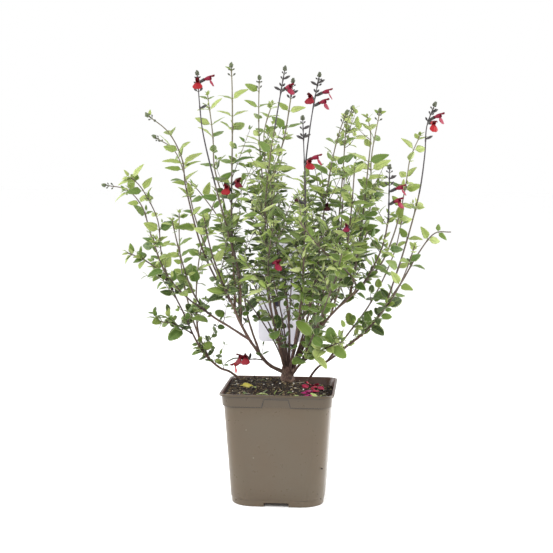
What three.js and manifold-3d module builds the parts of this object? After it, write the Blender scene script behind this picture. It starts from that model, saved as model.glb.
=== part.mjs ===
// A perennial salvia with small crimson flowers, standing in a square nursery pot of peat.
// Millimetres, +Z up, the front of the pot faces -Y. The origin is the middle of the pot's foot.
import * as THREE from "three";
import Module from "manifold-3d";
import { mergeVertices } from "three/addons/utils/BufferGeometryUtils.js";

const wasm = await Module();
wasm.setup();

// ---- driving dimensions ----
const gap = 0.3; // clearance between neighbouring solids

const potHalf = 84.8; // half the width of the rim, over its lip
const potHeight = 170;
const lip = { height: 3.4, width: 3.6 };
const footHalf = 69.5;
const bodyTopHalf = 78.6; // under the collar
const potWall = 2;
const rimCorner = 16; // corner radius at the rim
const footCorner = 34;
const collarHeight = 19;
const collarProud = { foot: 2, top: 3 }; // beyond the body
const footStep = { height: 10, depth: 0.8 };
const tabRecess = { top: 36, foot: 43, height: 12 }; // on each side of the collar
const channel = { width: 37, height: 6, length: 34 }; // drain channels under the foot
const drainHoleRadius = 5;

const soilLevel = 162;
const soilMound = { x: 6, y: 30, height: 10, radius: 52 }; // where the trunk stands
const soilRoughness = 2.6;
const soilRings = 7;

const label = { width: 70, height: 164, thickness: 1, corner: 8, x: -5, y: 64, z: 228 };
const stake = { width: 12, length: 108, point: 10, aside: 14 }; // nearer one side of the plate
const labelLean = THREE.MathUtils.degToRad(-5);

const leaf = { length: 31, width: 18, thickness: 1.4, spacing: 53, firstAt: 16 };
const leafHabit = {
  least: 0.7, // length at the foot of a stem, as a share of the full one
  belly: 0.32, // what half way up adds to that
  tipLoss: 0.1, // what the tip takes away again
  closer: 0.35, // by how much pairs draw together towards the tip
  chance: 0.24, // between the shortest and the longest leaf of a size
  rise: 0.5, // along the stem for each 1 away from it
  lift: 0.1, // towards the light
  swing: 24, // degrees between the furthest turns round the stem
  roll: 1.5, // radians between the furthest rolls round the midrib
  light: [0.05, -0.5, 1], // where most light comes from, which the leaves turn their faces to
};
const greenTipRadius = 0.95;
const woodSides = (stem) => (stem.radius > 3 ? 6 : 4);
const greenSides = 4;
const darkSides = 3;
const trunkTaper = 0.85; // radius at the top of the trunk, as a share of its foot

const calyx = { length: 10, radius: 2.6 };
const flower = {
  tube: 10, throat: 1.5, waist: 2.5, mouth: 3.1, // radii of the tube from its foot to its end
  hood: 9, hoodWidth: 6, hoodLean: 0.2, // the leans are upward for each 1 along the tube
  lip: 13, lipWidth: 15, lipLean: -1.5,
};
const steepness = { calyx: 0.5, flower: 0.25 }; // rise of a calyx and of its flower
const bud = { length: 9, radius: 2.8, belly: 0.42 };

const colours = {
  pot: 0x82786a,
  soil: 0x33261d,
  label: 0xe4e4ea,
  wood: 0x6a5341,
  shoot: 0x6f9646,
  raceme: 0x3a3340,
  flower: 0xc01f3c,
  fallen: 0xa02850,
  fallenLeaf: 0xc2b04a,
};

// Every stem's route runs from its root or its fork to its tip, in points chosen by hand. `wood` is how
// many points are bark and belong to `limb`, `dark` is how many spans at the end are a dark flowering top,
// and the green rest belongs to `node`. A bloom is [distance along the dark top, or along the green part
// where there is none, compass angle, whether its flower is out].
const stems = [
  {
    node: "shoot_left_pair", limb: "wood_main", wood: 6, radius: 3.4, tip: "buds",
    route: [[6, 30, 184], [-20, 22, 199], [-37, 12, 222], [-50, 4, 243], [-64, -4, 272], [-74, -8, 296],
      [-94, -16, 328], [-118, -30, 386], [-137, -46, 468], [-142, -54, 512], [-160, -63, 550], [-190, -70, 575]],
  },
  {
    node: "shoot_left_pair", wood: 0, radius: 2, tip: "buds",
    route: [[-76, -9, 298], [-99, 10, 340], [-119, 22, 382], [-137, 36, 427], [-152, 54, 478],
      [-172, 68, 524], [-207, 82, 547]],
  },
  {
    node: "shoot_left_tall", limb: "wood_main", wood: 3, radius: 2.3, tip: "buds",
    route: [[-69, -6, 284], [-68, -22, 330], [-70, -34, 378], [-71, -37, 445], [-71, -32, 506],
      [-71, -28, 562], [-72, -24, 617], [-74, -20, 650]],
    blooms: [[87, 254, true], [96, 306, true]],
  },
  {
    node: "shoot_left_back", limb: "wood_main", wood: 2, radius: 2, tip: "leaves",
    route: [[-62, -3, 268], [-68, 26, 336], [-80, 42, 392], [-95, 62, 448], [-111, 76, 499],
      [-115, 86, 550], [-125, 98, 614]],
  },
  {
    node: "shoot_left_flowering", limb: "wood_main", wood: 2, dark: 3, radius: 2, tip: "raceme",
    route: [[-60, -2, 262], [-58, -46, 338], [-72, -58, 400], [-91, -70, 475], [-107, -78, 545],
      [-112, -83, 590], [-115, -86, 634]],
    blooms: [[148, 345, true], [143, 275, true], [112, 20, false]],
  },
  {
    node: "shoot_centre_mid", limb: "wood_main", wood: 3, radius: 2.4, tip: "buds",
    route: [[9, 32, 186], [-2, 35, 240], [-15, 39, 300], [-23, 44, 370], [-25, 46, 412], [-32, 48, 474],
      [-38, 48, 540], [-39, 46, 590], [-38, 42, 636]],
  },
  {
    node: "shoot_centre_front", limb: "wood_main", wood: 3, dark: 2, radius: 2.2, tip: "raceme",
    route: [[8, 28, 190], [-6, 4, 250], [-17, -18, 305], [-20, -34, 365], [-20, -46, 440], [-14, -55, 505],
      [-6, -60, 556], [3, -64, 608], [9, -66, 642]],
    blooms: [[54, 318, true], [56, 190, false], [72, 10, false]],
  },
  {
    node: "shoot_centre_back", limb: "wood_main", wood: 3, radius: 2, tip: "leaves",
    route: [[11, 35, 188], [10, 46, 250], [1, 54, 320], [-11, 68, 392], [-24, 84, 450], [-33, 98, 505],
      [-36, 110, 556], [-24, 112, 600]],
  },
  {
    node: "shoot_centre_upright", limb: "wood_main", wood: 3, dark: 1, radius: 2.1, tip: "raceme",
    route: [[10, 28, 190], [12, 16, 255], [6, 8, 320], [-8, 4, 386], [-15, 0, 446], [-8, -3, 500],
      [5, -7, 548], [14, -10, 604], [17, -10, 628]],
    blooms: [[5, 350, false], [7, 200, false]],
  },
  {
    node: "shoot_front_dark", limb: "wood_main", wood: 3, dark: 3, radius: 2.2, tip: "raceme",
    route: [[12, 24, 188], [24, -12, 248], [33, -46, 303], [38, -74, 356], [41, -98, 420], [42, -108, 470],
      [40, -113, 520], [38, -116, 570]],
    blooms: [[84, 295, true], [90, 350, true], [122, 170, false], [124, 10, false], [136, 20, false]],
  },
  {
    node: "shoot_centre_flowering", limb: "wood_main", wood: 3, dark: 3, radius: 2.2, tip: "raceme",
    route: [[13, 28, 190], [27, 12, 255], [34, -4, 320], [36, -20, 380], [36, -32, 440], [38, -42, 500],
      [44, -48, 553], [50, -51, 592], [58, -52, 634]],
    blooms: [[97, 254, true], [90, 335, true], [105, 5, true], [121, 200, false], [124, 10, false]],
  },
  {
    node: "shoot_right_back_tall", limb: "wood_main", wood: 3, radius: 2.5, tip: "buds",
    route: [[14, 34, 186], [40, 44, 252], [64, 57, 315], [78, 68, 366], [85, 79, 430], [90, 86, 500],
      [94, 92, 562], [103, 93, 593]],
  },
  {
    node: "shoot_right_mid", limb: "wood_main", wood: 3, radius: 2.1, tip: "buds",
    route: [[15, 28, 190], [36, 8, 255], [50, -10, 318], [59, -26, 378], [67, -41, 446], [77, -51, 508],
      [87, -57, 550], [98, -60, 580]],
  },
  {
    node: "shoot_right_short", limb: "wood_main", wood: 2, radius: 1.9, tip: "leaves",
    route: [[58, 8, 258], [76, 14, 318], [86, 18, 376], [91, 21, 440], [94, 24, 498]],
  },
  {
    node: "shoot_right_front_short", limb: "wood_main", wood: 2, radius: 1.9, tip: "leaves",
    route: [[76, 0, 280], [92, -34, 336], [101, -60, 390], [107, -80, 446], [111, -97, 502]],
  },
  {
    node: "shoot_front_pale", limb: "wood_main", wood: 2, radius: 1.9, tip: "leaves",
    route: [[92, -4, 296], [114, -46, 324], [104, -86, 350], [80, -118, 374], [58, -140, 398],
      [36, -156, 428]],
  },
  {
    node: "shoot_right_fork", limb: "wood_main", wood: 6, dark: 2, radius: 2.6, tip: "raceme",
    route: [[13, 30, 180], [40, 19, 238], [68, 4, 270], [88, -4, 292], [106, -9, 307], [122, -14, 326],
      [138, -36, 354], [152, -58, 388], [159, -78, 426], [160, -90, 462], [160, -98, 502]],
    blooms: [[24, 320, true], [43, 340, true], [62, 10, false]],
  },
  {
    node: "shoot_right_twin", limb: "wood_main", wood: 2, radius: 2.3, tip: "leaves",
    route: [[103, -8, 304], [110, -24, 340], [117, -38, 386], [124, -50, 440], [129, -58, 496],
      [133, -63, 545], [128, -63, 574]],
  },
  {
    node: "shoot_right_twin", wood: 0, radius: 1.9, tip: "buds",
    route: [[110, -26, 344], [120, 2, 376], [130, 24, 414], [134, 44, 466], [134, 56, 518], [146, 69, 588]],
  },
  {
    node: "shoot_right_fork", wood: 0, radius: 2.1, tip: "leaves",
    route: [[124, -16, 328], [150, 8, 356], [168, 34, 396], [180, 56, 438], [188, 72, 480], [194, 81, 516],
      [209, 86, 552]],
  },
  {
    node: "shoot_far_right", limb: "wood_right", wood: 6, dark: 3, radius: 2.5, tip: "raceme",
    route: [[34, 58, 118], [38, 56, 160], [52, 49, 188], [78, 40, 208], [102, 30, 230], [122, 20, 248],
      [152, 6, 282], [170, -14, 334], [188, -30, 396], [204, -43, 464], [211, -48, 520], [213, -50, 560],
      [224, -50, 592]],
    blooms: [[106, 330, true], [118, 20, false], [79, 5, false]],
  },
  {
    node: "shoot_far_right", wood: 0, radius: 2, tip: "leaves",
    route: [[125, 19, 251], [146, 26, 274], [164, 31, 300], [184, 35, 330], [205, 37, 368], [230, 40, 401],
      [256, 42, 404]],
  },
  {
    node: "shoot_right_back", limb: "wood_right", wood: 2, radius: 2, tip: "leaves",
    route: [[70, 43, 202], [100, 72, 240], [131, 104, 280], [156, 132, 325], [174, 152, 370],
      [184, 164, 416]],
  },
  {
    node: "shoot_right_front", limb: "wood_right", wood: 2, radius: 2, tip: "leaves",
    route: [[96, 33, 224], [128, 2, 254], [152, -36, 288], [172, -70, 322], [186, -100, 358],
      [196, -120, 392]],
  },
  {
    node: "shoot_far_left", limb: "wood_left", wood: 6, radius: 2.6, tip: "leaves",
    route: [[-61, 62, 118], [-64, 60, 160], [-82, 57, 179], [-101, 52, 188], [-123, 44, 211], [-138, 34, 240],
      [-151, 24, 274], [-168, 14, 314], [-183, 6, 368], [-187, -4, 420], [-207, -13, 464],
      [-224, -16, 484]],
  },
  {
    node: "shoot_far_left", wood: 0, radius: 1.9, tip: "buds",
    route: [[-168, 15, 312], [-188, 26, 354], [-205, 36, 396], [-220, 46, 438], [-246, 55, 464],
      [-283, 60, 471]],
  },
  {
    node: "shoot_far_left", wood: 0, radius: 1.6, tip: "leaves",
    route: [[-167, 15, 313], [-185, -10, 344], [-206, -24, 362], [-229, -30, 372]],
  },
  {
    node: "shoot_far_left", wood: 0, radius: 1.6, tip: "leaves", leafScale: 1.15,
    route: [[-140, 33, 243], [-156, 22, 254], [-172, 12, 262], [-190, 6, 264]],
  },
  {
    node: "shoot_left_low_back", limb: "wood_left", wood: 2, radius: 2, tip: "leaves",
    route: [[-116, 47, 203], [-142, 76, 250], [-160, 106, 295], [-172, 130, 340], [-178, 148, 385],
      [-180, 160, 426]],
  },
  {
    node: "shoot_left_rear", limb: "wood_left", wood: 2, radius: 2, tip: "leaves",
    route: [[-128, 41, 220], [-138, 72, 256], [-144, 106, 298], [-145, 140, 344], [-140, 170, 388],
      [-131, 192, 428], [-122, 206, 458]],
  },
  {
    node: "shoot_left_front_low", limb: "wood_main", wood: 3, radius: 2.2, tip: "leaves",
    route: [[-47, 6, 238], [-77, -4, 259], [-106, -14, 279], [-124, -28, 303], [-137, -42, 338],
      [-147, -54, 380], [-156, -62, 424]],
  },
  {
    node: "shoot_left_front_low", wood: 0, radius: 1.9, tip: "leaves",
    route: [[-108, -16, 281], [-132, -54, 306], [-152, -86, 335], [-166, -110, 368], [-172, -128, 402]],
  },
  {
    node: "shoot_back_left", limb: "wood_main", wood: 2, radius: 2, tip: "leaves",
    route: [[-32, 15, 215], [-54, 50, 264], [-68, 84, 318], [-86, 106, 372], [-108, 118, 416],
      [-140, 125, 458], [-156, 127, 474]],
  },
  {
    node: "shoot_front_left", limb: "wood_main", wood: 2, radius: 2, tip: "leaves",
    route: [[-54, 2, 250], [-72, -44, 306], [-86, -78, 350], [-95, -106, 392], [-100, -126, 432]],
  },
  {
    node: "shoot_front_low", limb: "wood_main", wood: 2, radius: 2.2, tip: "leaves", leafSpacing: 24,
    route: [[16, 26, 182], [30, 8, 202], [52, -24, 222], [74, -46, 237], [94, -60, 247]],
  },
  {
    node: "shoot_front_low", wood: 0, radius: 1.9, tip: "leaves",
    route: [[31, 6, 206], [46, -34, 240], [62, -76, 280], [76, -110, 318], [88, -136, 352],
      [96, -156, 384]],
  },
  {
    node: "shoot_front_centre", limb: "wood_main", wood: 2, radius: 2, tip: "leaves",
    route: [[5, 24, 190], [-4, -14, 244], [-10, -50, 292], [-12, -84, 340], [-8, -112, 384],
      [0, -134, 424]],
    blooms: [[143, 318, true]],
  },
  {
    node: "shoot_rear", limb: "wood_main", wood: 3, radius: 2.4, tip: "leaves",
    route: [[15, 36, 184], [36, 54, 206], [48, 74, 232], [44, 106, 282], [38, 136, 335], [32, 158, 390],
      [28, 174, 440], [26, 182, 480]],
  },
  {
    node: "shoot_rear", wood: 0, radius: 2, tip: "leaves",
    route: [[48, 76, 235], [68, 106, 278], [88, 136, 326], [104, 164, 375], [114, 184, 420], [118, 196, 456]],
  },
  {
    node: "shoot_low_bloom", limb: "wood_main", wood: 2, radius: 1.3, tip: "none", leafless: true,
    route: [[-24, 19, 204], [-28, 10, 207], [-40, 0, 210], [-54, -8, 209]],
    blooms: [[25, 262, true]],
  },
  {
    limb: "wood_main", wood: 4, radius: 10.5, tip: "none", leafless: true,
    route: [[8, 32, 118], [8, 31, 162], [9, 30, 184], [10, 29, 196]],
  },
];

// ---- small tools ----
const vector = (point) => new THREE.Vector3(...point);

// An even spread of numbers from 0 to 1, the same each time.
function random(seed) {
  const wave = Math.sin(seed * 12.9898 + 4.1414) * 43758.5453;
  return wave - Math.floor(wave);
}

function solidOf(geometry) {
  const bare = geometry.clone();
  bare.deleteAttribute("normal");
  bare.deleteAttribute("uv");
  const merged = mergeVertices(bare, 1e-5);
  const mesh = new wasm.Mesh({
    numProp: 3,
    vertProperties: new Float32Array(merged.attributes.position.array),
    triVerts: new Uint32Array(merged.index.array),
  });
  return new wasm.Manifold(mesh);
}

function joined(solids) {
  let whole = solids[0];
  for (const solid of solids.slice(1)) {
    whole = whole.add(solid);
  }
  return whole;
}

function geometryOf(solid) {
  const mesh = solid.getMesh();
  const geometry = new THREE.BufferGeometry();
  geometry.setAttribute("position", new THREE.BufferAttribute(mesh.vertProperties, 3));
  geometry.setIndex(new THREE.BufferAttribute(mesh.triVerts, 1));
  geometry.computeVertexNormals();
  return geometry;
}

function meshGeometry(points, faces) {
  const geometry = new THREE.BufferGeometry();
  geometry.setFromPoints(points);
  geometry.setIndex(faces.flat());
  return geometry;
}

// Rings with the same number of points, skinned one to the next and closed flat at both ends. Where
// `socket(row, facet)` gives a blade, it grows out of half of that facet and becomes part of the skin.
function loft(rings, socket = () => null) {
  const count = rings[0].length;
  const points = rings.flat();
  const faces = [];
  for (let row = 0; row < rings.length - 1; row += 1) {
    for (let i = 0; i < count; i += 1) {
      const a = row * count + i;
      const b = row * count + ((i + 1) % count);
      faces.push([a, b, b + count]);
      const grown = socket(row, i);
      if (grown) {
        faces.push(...bladeFaces(points, [a, b + count, a + count], grown));
      } else {
        faces.push([a, b + count, a + count]);
      }
    }
  }
  const last = (rings.length - 1) * count;
  for (let i = 1; i < count - 1; i += 1) {
    faces.push([0, i + 1, i], [last, last + i, last + i + 1]);
  }
  return meshGeometry(points, faces);
}

// Two directions square to a stem, turned the same way wherever it leads.
function across(direction) {
  const guide = Math.abs(direction.y) < 0.8 ? new THREE.Vector3(0, 1, 0) : new THREE.Vector3(1, 0, 0);
  const side = guide.clone().cross(direction).normalize();
  const other = direction.clone().cross(side);
  return [side, other];
}

// ---- stems ----
const stepsPerSpan = 8; // for measuring along a route

// The route's smooth line as close points, with the length walked up to each.
function walk(stem, fromPoint, toPoint) {
  const curve = new THREE.CatmullRomCurve3(stem.route.map(vector), false, "catmullrom", 0.5);
  const spans = stem.route.length - 1;
  const points = [];
  for (let i = fromPoint * stepsPerSpan; i <= toPoint * stepsPerSpan; i += 1) {
    points.push(curve.getPoint(i / (spans * stepsPerSpan)));
  }
  const lengths = [0];
  for (let i = 1; i < points.length; i += 1) {
    lengths.push(lengths[i - 1] + points[i].distanceTo(points[i - 1]));
  }
  return { points, lengths, total: lengths.at(-1) };
}

function pointAt(path, distance) {
  const wanted = Math.min(Math.max(distance, 0), path.total);
  let i = 1;
  while (i < path.points.length - 1 && path.lengths[i] < wanted) {
    i += 1;
  }
  const before = path.points[i - 1];
  const after = path.points[i];
  const share = (wanted - path.lengths[i - 1]) / (path.lengths[i] - path.lengths[i - 1]);
  const direction = after.clone().sub(before).normalize();
  return { point: before.clone().lerp(after, share), direction };
}

function stemRadius(stem, position) {
  const share = position / (stem.route.length - 1);
  const tip = stem.node ? greenTipRadius : stem.radius * trunkTaper;
  return THREE.MathUtils.lerp(stem.radius, tip, share ** 0.7);
}

// A level direction square to the plane that a stem bends in, so that its sides never twist.
function guideOf(stem) {
  const [x, y] = stem.route[0];
  const [tipX, tipY] = stem.route.at(-1);
  return new THREE.Vector3(y - tipY, tipX - x, 0).normalize();
}

function stemFrame(stem, direction) {
  const outer = direction.clone().cross(guideOf(stem)).normalize();
  const side = outer.clone().cross(direction);
  return [side, outer];
}

function ringAt(stem, path, distance, radius, sides, phase) {
  const { point, direction } = pointAt(path, distance);
  const [side, outer] = stemFrame(stem, direction);
  const ring = [];
  for (let corner = 0; corner < sides; corner += 1) {
    const angle = ((corner + 0.5) / sides) * Math.PI * 2 + phase;
    ring.push(point.clone()
      .addScaledVector(side, radius * Math.cos(angle))
      .addScaledVector(outer, radius * Math.sin(angle)));
  }
  return ring;
}

// A tapering rod along part of a stem's route, `extra` thicker all round.
function rod(stem, fromPoint, toPoint, sides, extra = 0) {
  const path = walk(stem, fromPoint, toPoint);
  const rings = [];
  for (let i = 0; i <= toPoint - fromPoint; i += 1) {
    const start = i === 0 && fromPoint > 0 ? gap : 0;
    const distance = path.lengths[i * stepsPerSpan] + start;
    rings.push(ringAt(stem, path, distance, stemRadius(stem, fromPoint + i) + extra, sides, 0));
  }
  return solidOf(loft(rings));
}

// ---- blades ----
// Half outlines run from the root to the tip as [share of length, share of half width, lift].
// `fold` is where the crease along the midrib is deepest.
const leafBlade = {
  half: [[0.34, 1, 0.09], [0.52, 0.74, 0.05], [0.68, 0.76, 0.1]],
  fold: 0.6,
  arch: 0.2,
};
const smallLeafBlade = {
  half: [[0.36, 1, 0.09], [0.68, 0.7, 0.08]],
  fold: 0.6,
  arch: 0.2,
};
const lipBlade = {
  half: [[0.3, 0.34, 0], [0.55, 1, -0.02], [0.86, 0.9, -0.1], [1, 0.4, -0.06]],
  fold: 0.55,
  arch: 0.1,
  tipShare: 0.86,
};
const hoodBlade = {
  half: [[0.35, 0.8, -0.02], [0.8, 0.9, -0.14]],
  fold: 0.6,
  arch: 0.16,
};

function bladePoint(frame, blade, size, share, sideways, lift) {
  const side = frame.normal.clone().cross(frame.forward);
  return frame.origin.clone()
    .addScaledVector(frame.forward, share * size.length)
    .addScaledVector(side, (sideways * size.width) / 2)
    .addScaledVector(frame.normal, size.length * (lift - blade.arch * share * share));
}

// Triangles between one edge of a blade and its midrib, from where the two start to the tip.
function halfFaces(edge, rib) {
  return edge.slice(1).map((next, i) => [edge[i], next, rib]);
}

// A thin blade with a waved outline, creased along its midrib and split alike above and below. It grows
// from the triangle `root` of the skin that carries it: points are added and its faces are given back.
function bladeFaces(points, root, { frame, blade, size }) {
  const add = (share, sideways, lift, offset = 0) => {
    const point = bladePoint(frame, blade, size, share, sideways, lift);
    points.push(point.addScaledVector(frame.normal, offset));
    return points.length - 1;
  };
  const [keel, rootLeft, rootRight] = turnedToFit(points, root, frame);
  const tip = add(blade.tipShare ?? 1, 0, 0);
  const left = [...blade.half.map(([share, width, lift]) => add(share, width, lift)), tip];
  const right = [...blade.half.map(([share, width, lift]) => add(share, -width, lift)), tip];
  const above = add(blade.fold, 0, 0, size.thickness / 2);
  const below = add(blade.fold, 0, 0, -size.thickness / 2);
  const mirrored = (faces) => faces.map(([a, b, c]) => [a, c, b]);
  return [
    [rootRight, right[0], left[0]],
    [rootRight, left[0], rootLeft],
    [right[0], above, left[0]],
    ...halfFaces(right, above),
    ...mirrored(halfFaces(left, above)),
    [right[0], rootRight, keel],
    [right[0], keel, below],
    [keel, rootLeft, left[0]],
    [keel, left[0], below],
    ...mirrored(halfFaces(right, below)),
    ...halfFaces(left, below),
  ];
}

// The root's corners in the order below, left and right that twists the blade's foot least.
function turnedToFit(points, root, frame) {
  const side = frame.normal.clone().cross(frame.forward);
  let best = null;
  for (let turn = 0; turn < 3; turn += 1) {
    const order = [root[turn], root[(turn + 1) % 3], root[(turn + 2) % 3]];
    const [keel, left, right] = order.map((index) => points[index]);
    const level = left.clone().sub(right).dot(side);
    const rise = left.clone().add(right).multiplyScalar(0.5).sub(keel).dot(frame.normal);
    if (!best || level + rise > best.score) {
      best = { order, score: level + rise };
    }
  }
  return best.order;
}

// A blade that stands by itself, on a small three-cornered foot.
const bladeFoot = [[0, -0.5], [0.9, 0.5], [-0.9, 0.5]]; // sideways and up

function bladeSolid(frame, blade, size) {
  const side = frame.normal.clone().cross(frame.forward);
  const points = bladeFoot.map(([sideways, up]) => frame.origin.clone()
    .addScaledVector(side, sideways)
    .addScaledVector(frame.normal, up));
  const faces = bladeFaces(points, [0, 1, 2], { frame, blade, size });
  return solidOf(meshGeometry(points, [[0, 2, 1], ...faces]));
}

// A direction square to `forward` that looks at the sky, or at the light given, then rolled.
function facing(forward, roll = 0, light = [0, 0, 1]) {
  const way = vector(light).normalize();
  const normal = way.addScaledVector(forward, -way.dot(forward)).normalize();
  return normal.applyAxisAngle(forward, roll);
}

// A pointed bud with four flats.
function spindle(base, direction, length, radius) {
  const [side, other] = across(direction);
  const middle = base.clone().addScaledVector(direction, length * bud.belly);
  const ring = [side, other, side.clone().negate(), other.clone().negate()];
  const points = [base.clone(), ...ring.map((way) => middle.clone().addScaledVector(way, radius))];
  points.push(base.clone().addScaledVector(direction, length));
  const faces = [];
  for (let i = 0; i < 4; i += 1) {
    const a = 1 + i;
    const b = 1 + ((i + 1) % 4);
    faces.push([0, b, a], [a, b, 5]);
  }
  return solidOf(meshGeometry(points, faces));
}

function budCluster(tip, direction, seed) {
  const [side, other] = across(direction);
  const buds = [spindle(tip.clone().addScaledVector(direction, -2), direction, bud.length, bud.radius)];
  for (let i = 0; i < 2; i += 1) {
    const angle = (i / 2 + random(seed)) * Math.PI * 2;
    const low = tip.clone().addScaledVector(direction, -3);
    const outward = side.clone().multiplyScalar(Math.cos(angle))
      .addScaledVector(other, Math.sin(angle))
      .add(direction)
      .normalize();
    buds.push(spindle(low, outward, bud.length * 0.8, bud.radius * 0.7));
  }
  return buds;
}

// ---- blooms ----
// A closed body of rings along a line, each given as [distance, radius, how far its teeth stand out].
function turned(start, direction, stations, sides) {
  const [side, other] = across(direction);
  const rings = stations.map(([along, radius, teeth = 0]) => {
    const ring = [];
    for (let corner = 0; corner < sides; corner += 1) {
      const angle = (corner / sides) * Math.PI * 2;
      ring.push(start.clone()
        .addScaledVector(direction, along + teeth * (corner % 2 === 0 ? 1 : -1))
        .addScaledVector(side, radius * Math.cos(angle))
        .addScaledVector(other, radius * Math.sin(angle)));
    }
    return ring;
  });
  return solidOf(loft(rings));
}

function calyxSolid(base, direction) {
  const stations = [
    [-1.2, 0.8], // inside the stem
    [calyx.length * 0.45, calyx.radius],
    [calyx.length, calyx.radius * 0.8, 0.8],
  ];
  return turned(base, direction, stations, 4);
}

function flowerSolid(start, direction) {
  const stations = [[0, flower.throat], [flower.tube * 0.45, flower.waist], [flower.tube, flower.mouth]];
  const tube = turned(start, direction, stations, 5);
  const petal = (blade, length, width, lean, height) => {
    const up = facing(direction);
    const forward = direction.clone().addScaledVector(up, lean).normalize();
    const origin = start.clone()
      .addScaledVector(direction, flower.tube - 2)
      .addScaledVector(up, height);
    const frame = { origin, forward, normal: facing(forward) };
    return bladeSolid(frame, blade, { length, width, thickness: leaf.thickness });
  };
  const hood = petal(hoodBlade, flower.hood, flower.hoodWidth, flower.hoodLean, 1.4);
  const lip = petal(lipBlade, flower.lip, flower.lipWidth, flower.lipLean, -0.6);
  return joined([tube, hood, lip]);
}

function towards(compass, rise) {
  const angle = THREE.MathUtils.degToRad(compass);
  return new THREE.Vector3(Math.cos(angle), Math.sin(angle), rise).normalize();
}

// ---- keeping neighbours clear of each other ----
const taken = []; // points that other nodes' leaves keep away from

function take(point, radius, owner) {
  taken.push({ point, radius, owner });
}

function isClear(points, radius, owner) {
  for (const point of points) {
    const nearSoil = Math.max(Math.abs(point.x), Math.abs(point.y)) < potHalf + 15;
    if (nearSoil && point.z < potHeight + 10) {
      return false;
    }
    for (const other of taken) {
      if (other.owner !== owner && point.distanceTo(other.point) < radius + other.radius) {
        return false;
      }
    }
  }
  return true;
}

const leafProbes = [ // share of the length and of the half width
  [0.2, 0], [0.38, 0], [0.7, 0], [1, 0], [0.36, 1], [0.36, -1], [0.68, 0.76], [0.68, -0.76],
];
const leafReach = 4; // clear radius round each probe
const stemReach = 0.6; // beyond a stem's own radius
const stemProbeStep = 4;
const turns = [0, 22, -22, 38, -38]; // degrees that a leaf is turned round its stem to come clear
const socketLength = 3; // of stem that a pair of leaves grows from
const smallLeaf = 24; // up to this length the plainer outline serves

// ---- leaves on a stem ----
function leafGrowing(stem, at, angle, seed, length) {
  const blade = length > smallLeaf ? leafBlade : smallLeafBlade;
  const size = { length, width: length * (leaf.width / leaf.length), thickness: leaf.thickness };
  const [side, outer] = stemFrame(stem, at.direction);
  for (const turn of turns) {
    const swing = (random(seed + 0.25) - 0.5) * leafHabit.swing;
    const way = angle + THREE.MathUtils.degToRad(turn + swing);
    const forward = side.clone().multiplyScalar(Math.cos(way))
      .addScaledVector(outer, Math.sin(way))
      .addScaledVector(at.direction, leafHabit.rise);
    forward.z += leafHabit.lift;
    forward.normalize();
    const normal = facing(forward, (random(seed + 0.5) - 0.5) * leafHabit.roll, leafHabit.light);
    const frame = { origin: at.point, forward, normal };
    const probes = leafProbes.map(([s, w]) => bladePoint(frame, blade, size, s, w, 0));
    if (isClear(probes, leafReach, stem.node)) {
      probes.forEach((point) => take(point, leafReach, "leaves"));
      return { frame, blade, size };
    }
  }
  return null;
}

function leafLength(share, seed) {
  const belly = Math.sin(Math.PI * (0.1 + 0.8 * share));
  const plump = leafHabit.least + leafHabit.belly * belly;
  const chance = 1 + leafHabit.chance * (random(seed) - 0.5);
  return leaf.length * plump * (1 - leafHabit.tipLoss * share) * chance;
}

// The green part of a stem, four-sided as in all sages, with its leaves in crossed pairs.
function leafyRod(stem, order, fromPoint, toPoint) {
  const path = walk(stem, fromPoint, toPoint);
  const phase = order * 0.7;
  const ring = (distance) => {
    const position = fromPoint + (toPoint - fromPoint) * (distance / path.total);
    return ringAt(stem, path, distance, stemRadius(stem, position), greenSides, phase);
  };
  const rings = [ring(fromPoint > 0 ? gap : 0)];
  const grown = new Map(); // row and facet -> leaf
  let distance = stem.leafless ? path.total : leaf.firstAt;
  let pair = 0;
  while (distance < path.total - socketLength) {
    const share = distance / path.total;
    const at = pointAt(path, distance);
    rings.push(ring(distance - socketLength / 2), ring(distance + socketLength / 2));
    for (const half of [0, 1]) {
      const seed = order * 100 + pair * 2 + half;
      const length = leafLength(share, seed) * (stem.leafScale ?? 1);
      const facet = (pair % 2) + half * 2;
      const angle = ((facet + 1) * Math.PI) / 2 + phase;
      grown.set(`${rings.length - 2} ${facet}`, leafGrowing(stem, at, angle, seed, length));
    }
    distance += (stem.leafSpacing ?? leaf.spacing) * (1.1 - leafHabit.closer * share);
    pair += 1;
  }
  rings.push(ring(path.total));
  return solidOf(loft(rings, (row, facet) => grown.get(`${row} ${facet}`)));
}

// ---- the plant ----
const solidsByNode = new Map(); // node name -> { colour, solids }

function keep(node, colour, solids) {
  if (!solidsByNode.has(node)) {
    solidsByNode.set(node, { colour, solids: [] });
  }
  solidsByNode.get(node).solids.push(...solids);
}

function shortName(stem) {
  return stem.node.replace("shoot_", "");
}

function stemParts(stem) {
  const last = stem.route.length - 1;
  const woodEnd = stem.node ? Math.max(stem.wood - 1, 0) : last;
  const greenEnd = last - (stem.dark ?? 0);
  return { woodEnd, greenEnd, last };
}

function growStems() {
  for (const stem of stems) {
    const { woodEnd, greenEnd, last } = stemParts(stem);
    if (woodEnd > 0) {
      keep(stem.limb, colours.wood, [rod(stem, 0, woodEnd, woodSides(stem))]);
    }
    if (stem.dark) {
      keep(`raceme_${shortName(stem)}`, colours.raceme, [rod(stem, greenEnd, last, darkSides)]);
    }
    const whole = walk(stem, 0, last);
    for (let distance = 0; distance <= whole.total; distance += stemProbeStep) {
      take(pointAt(whole, distance).point, stem.radius + stemReach, stem.node ?? stem.limb);
    }
  }
}

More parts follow.
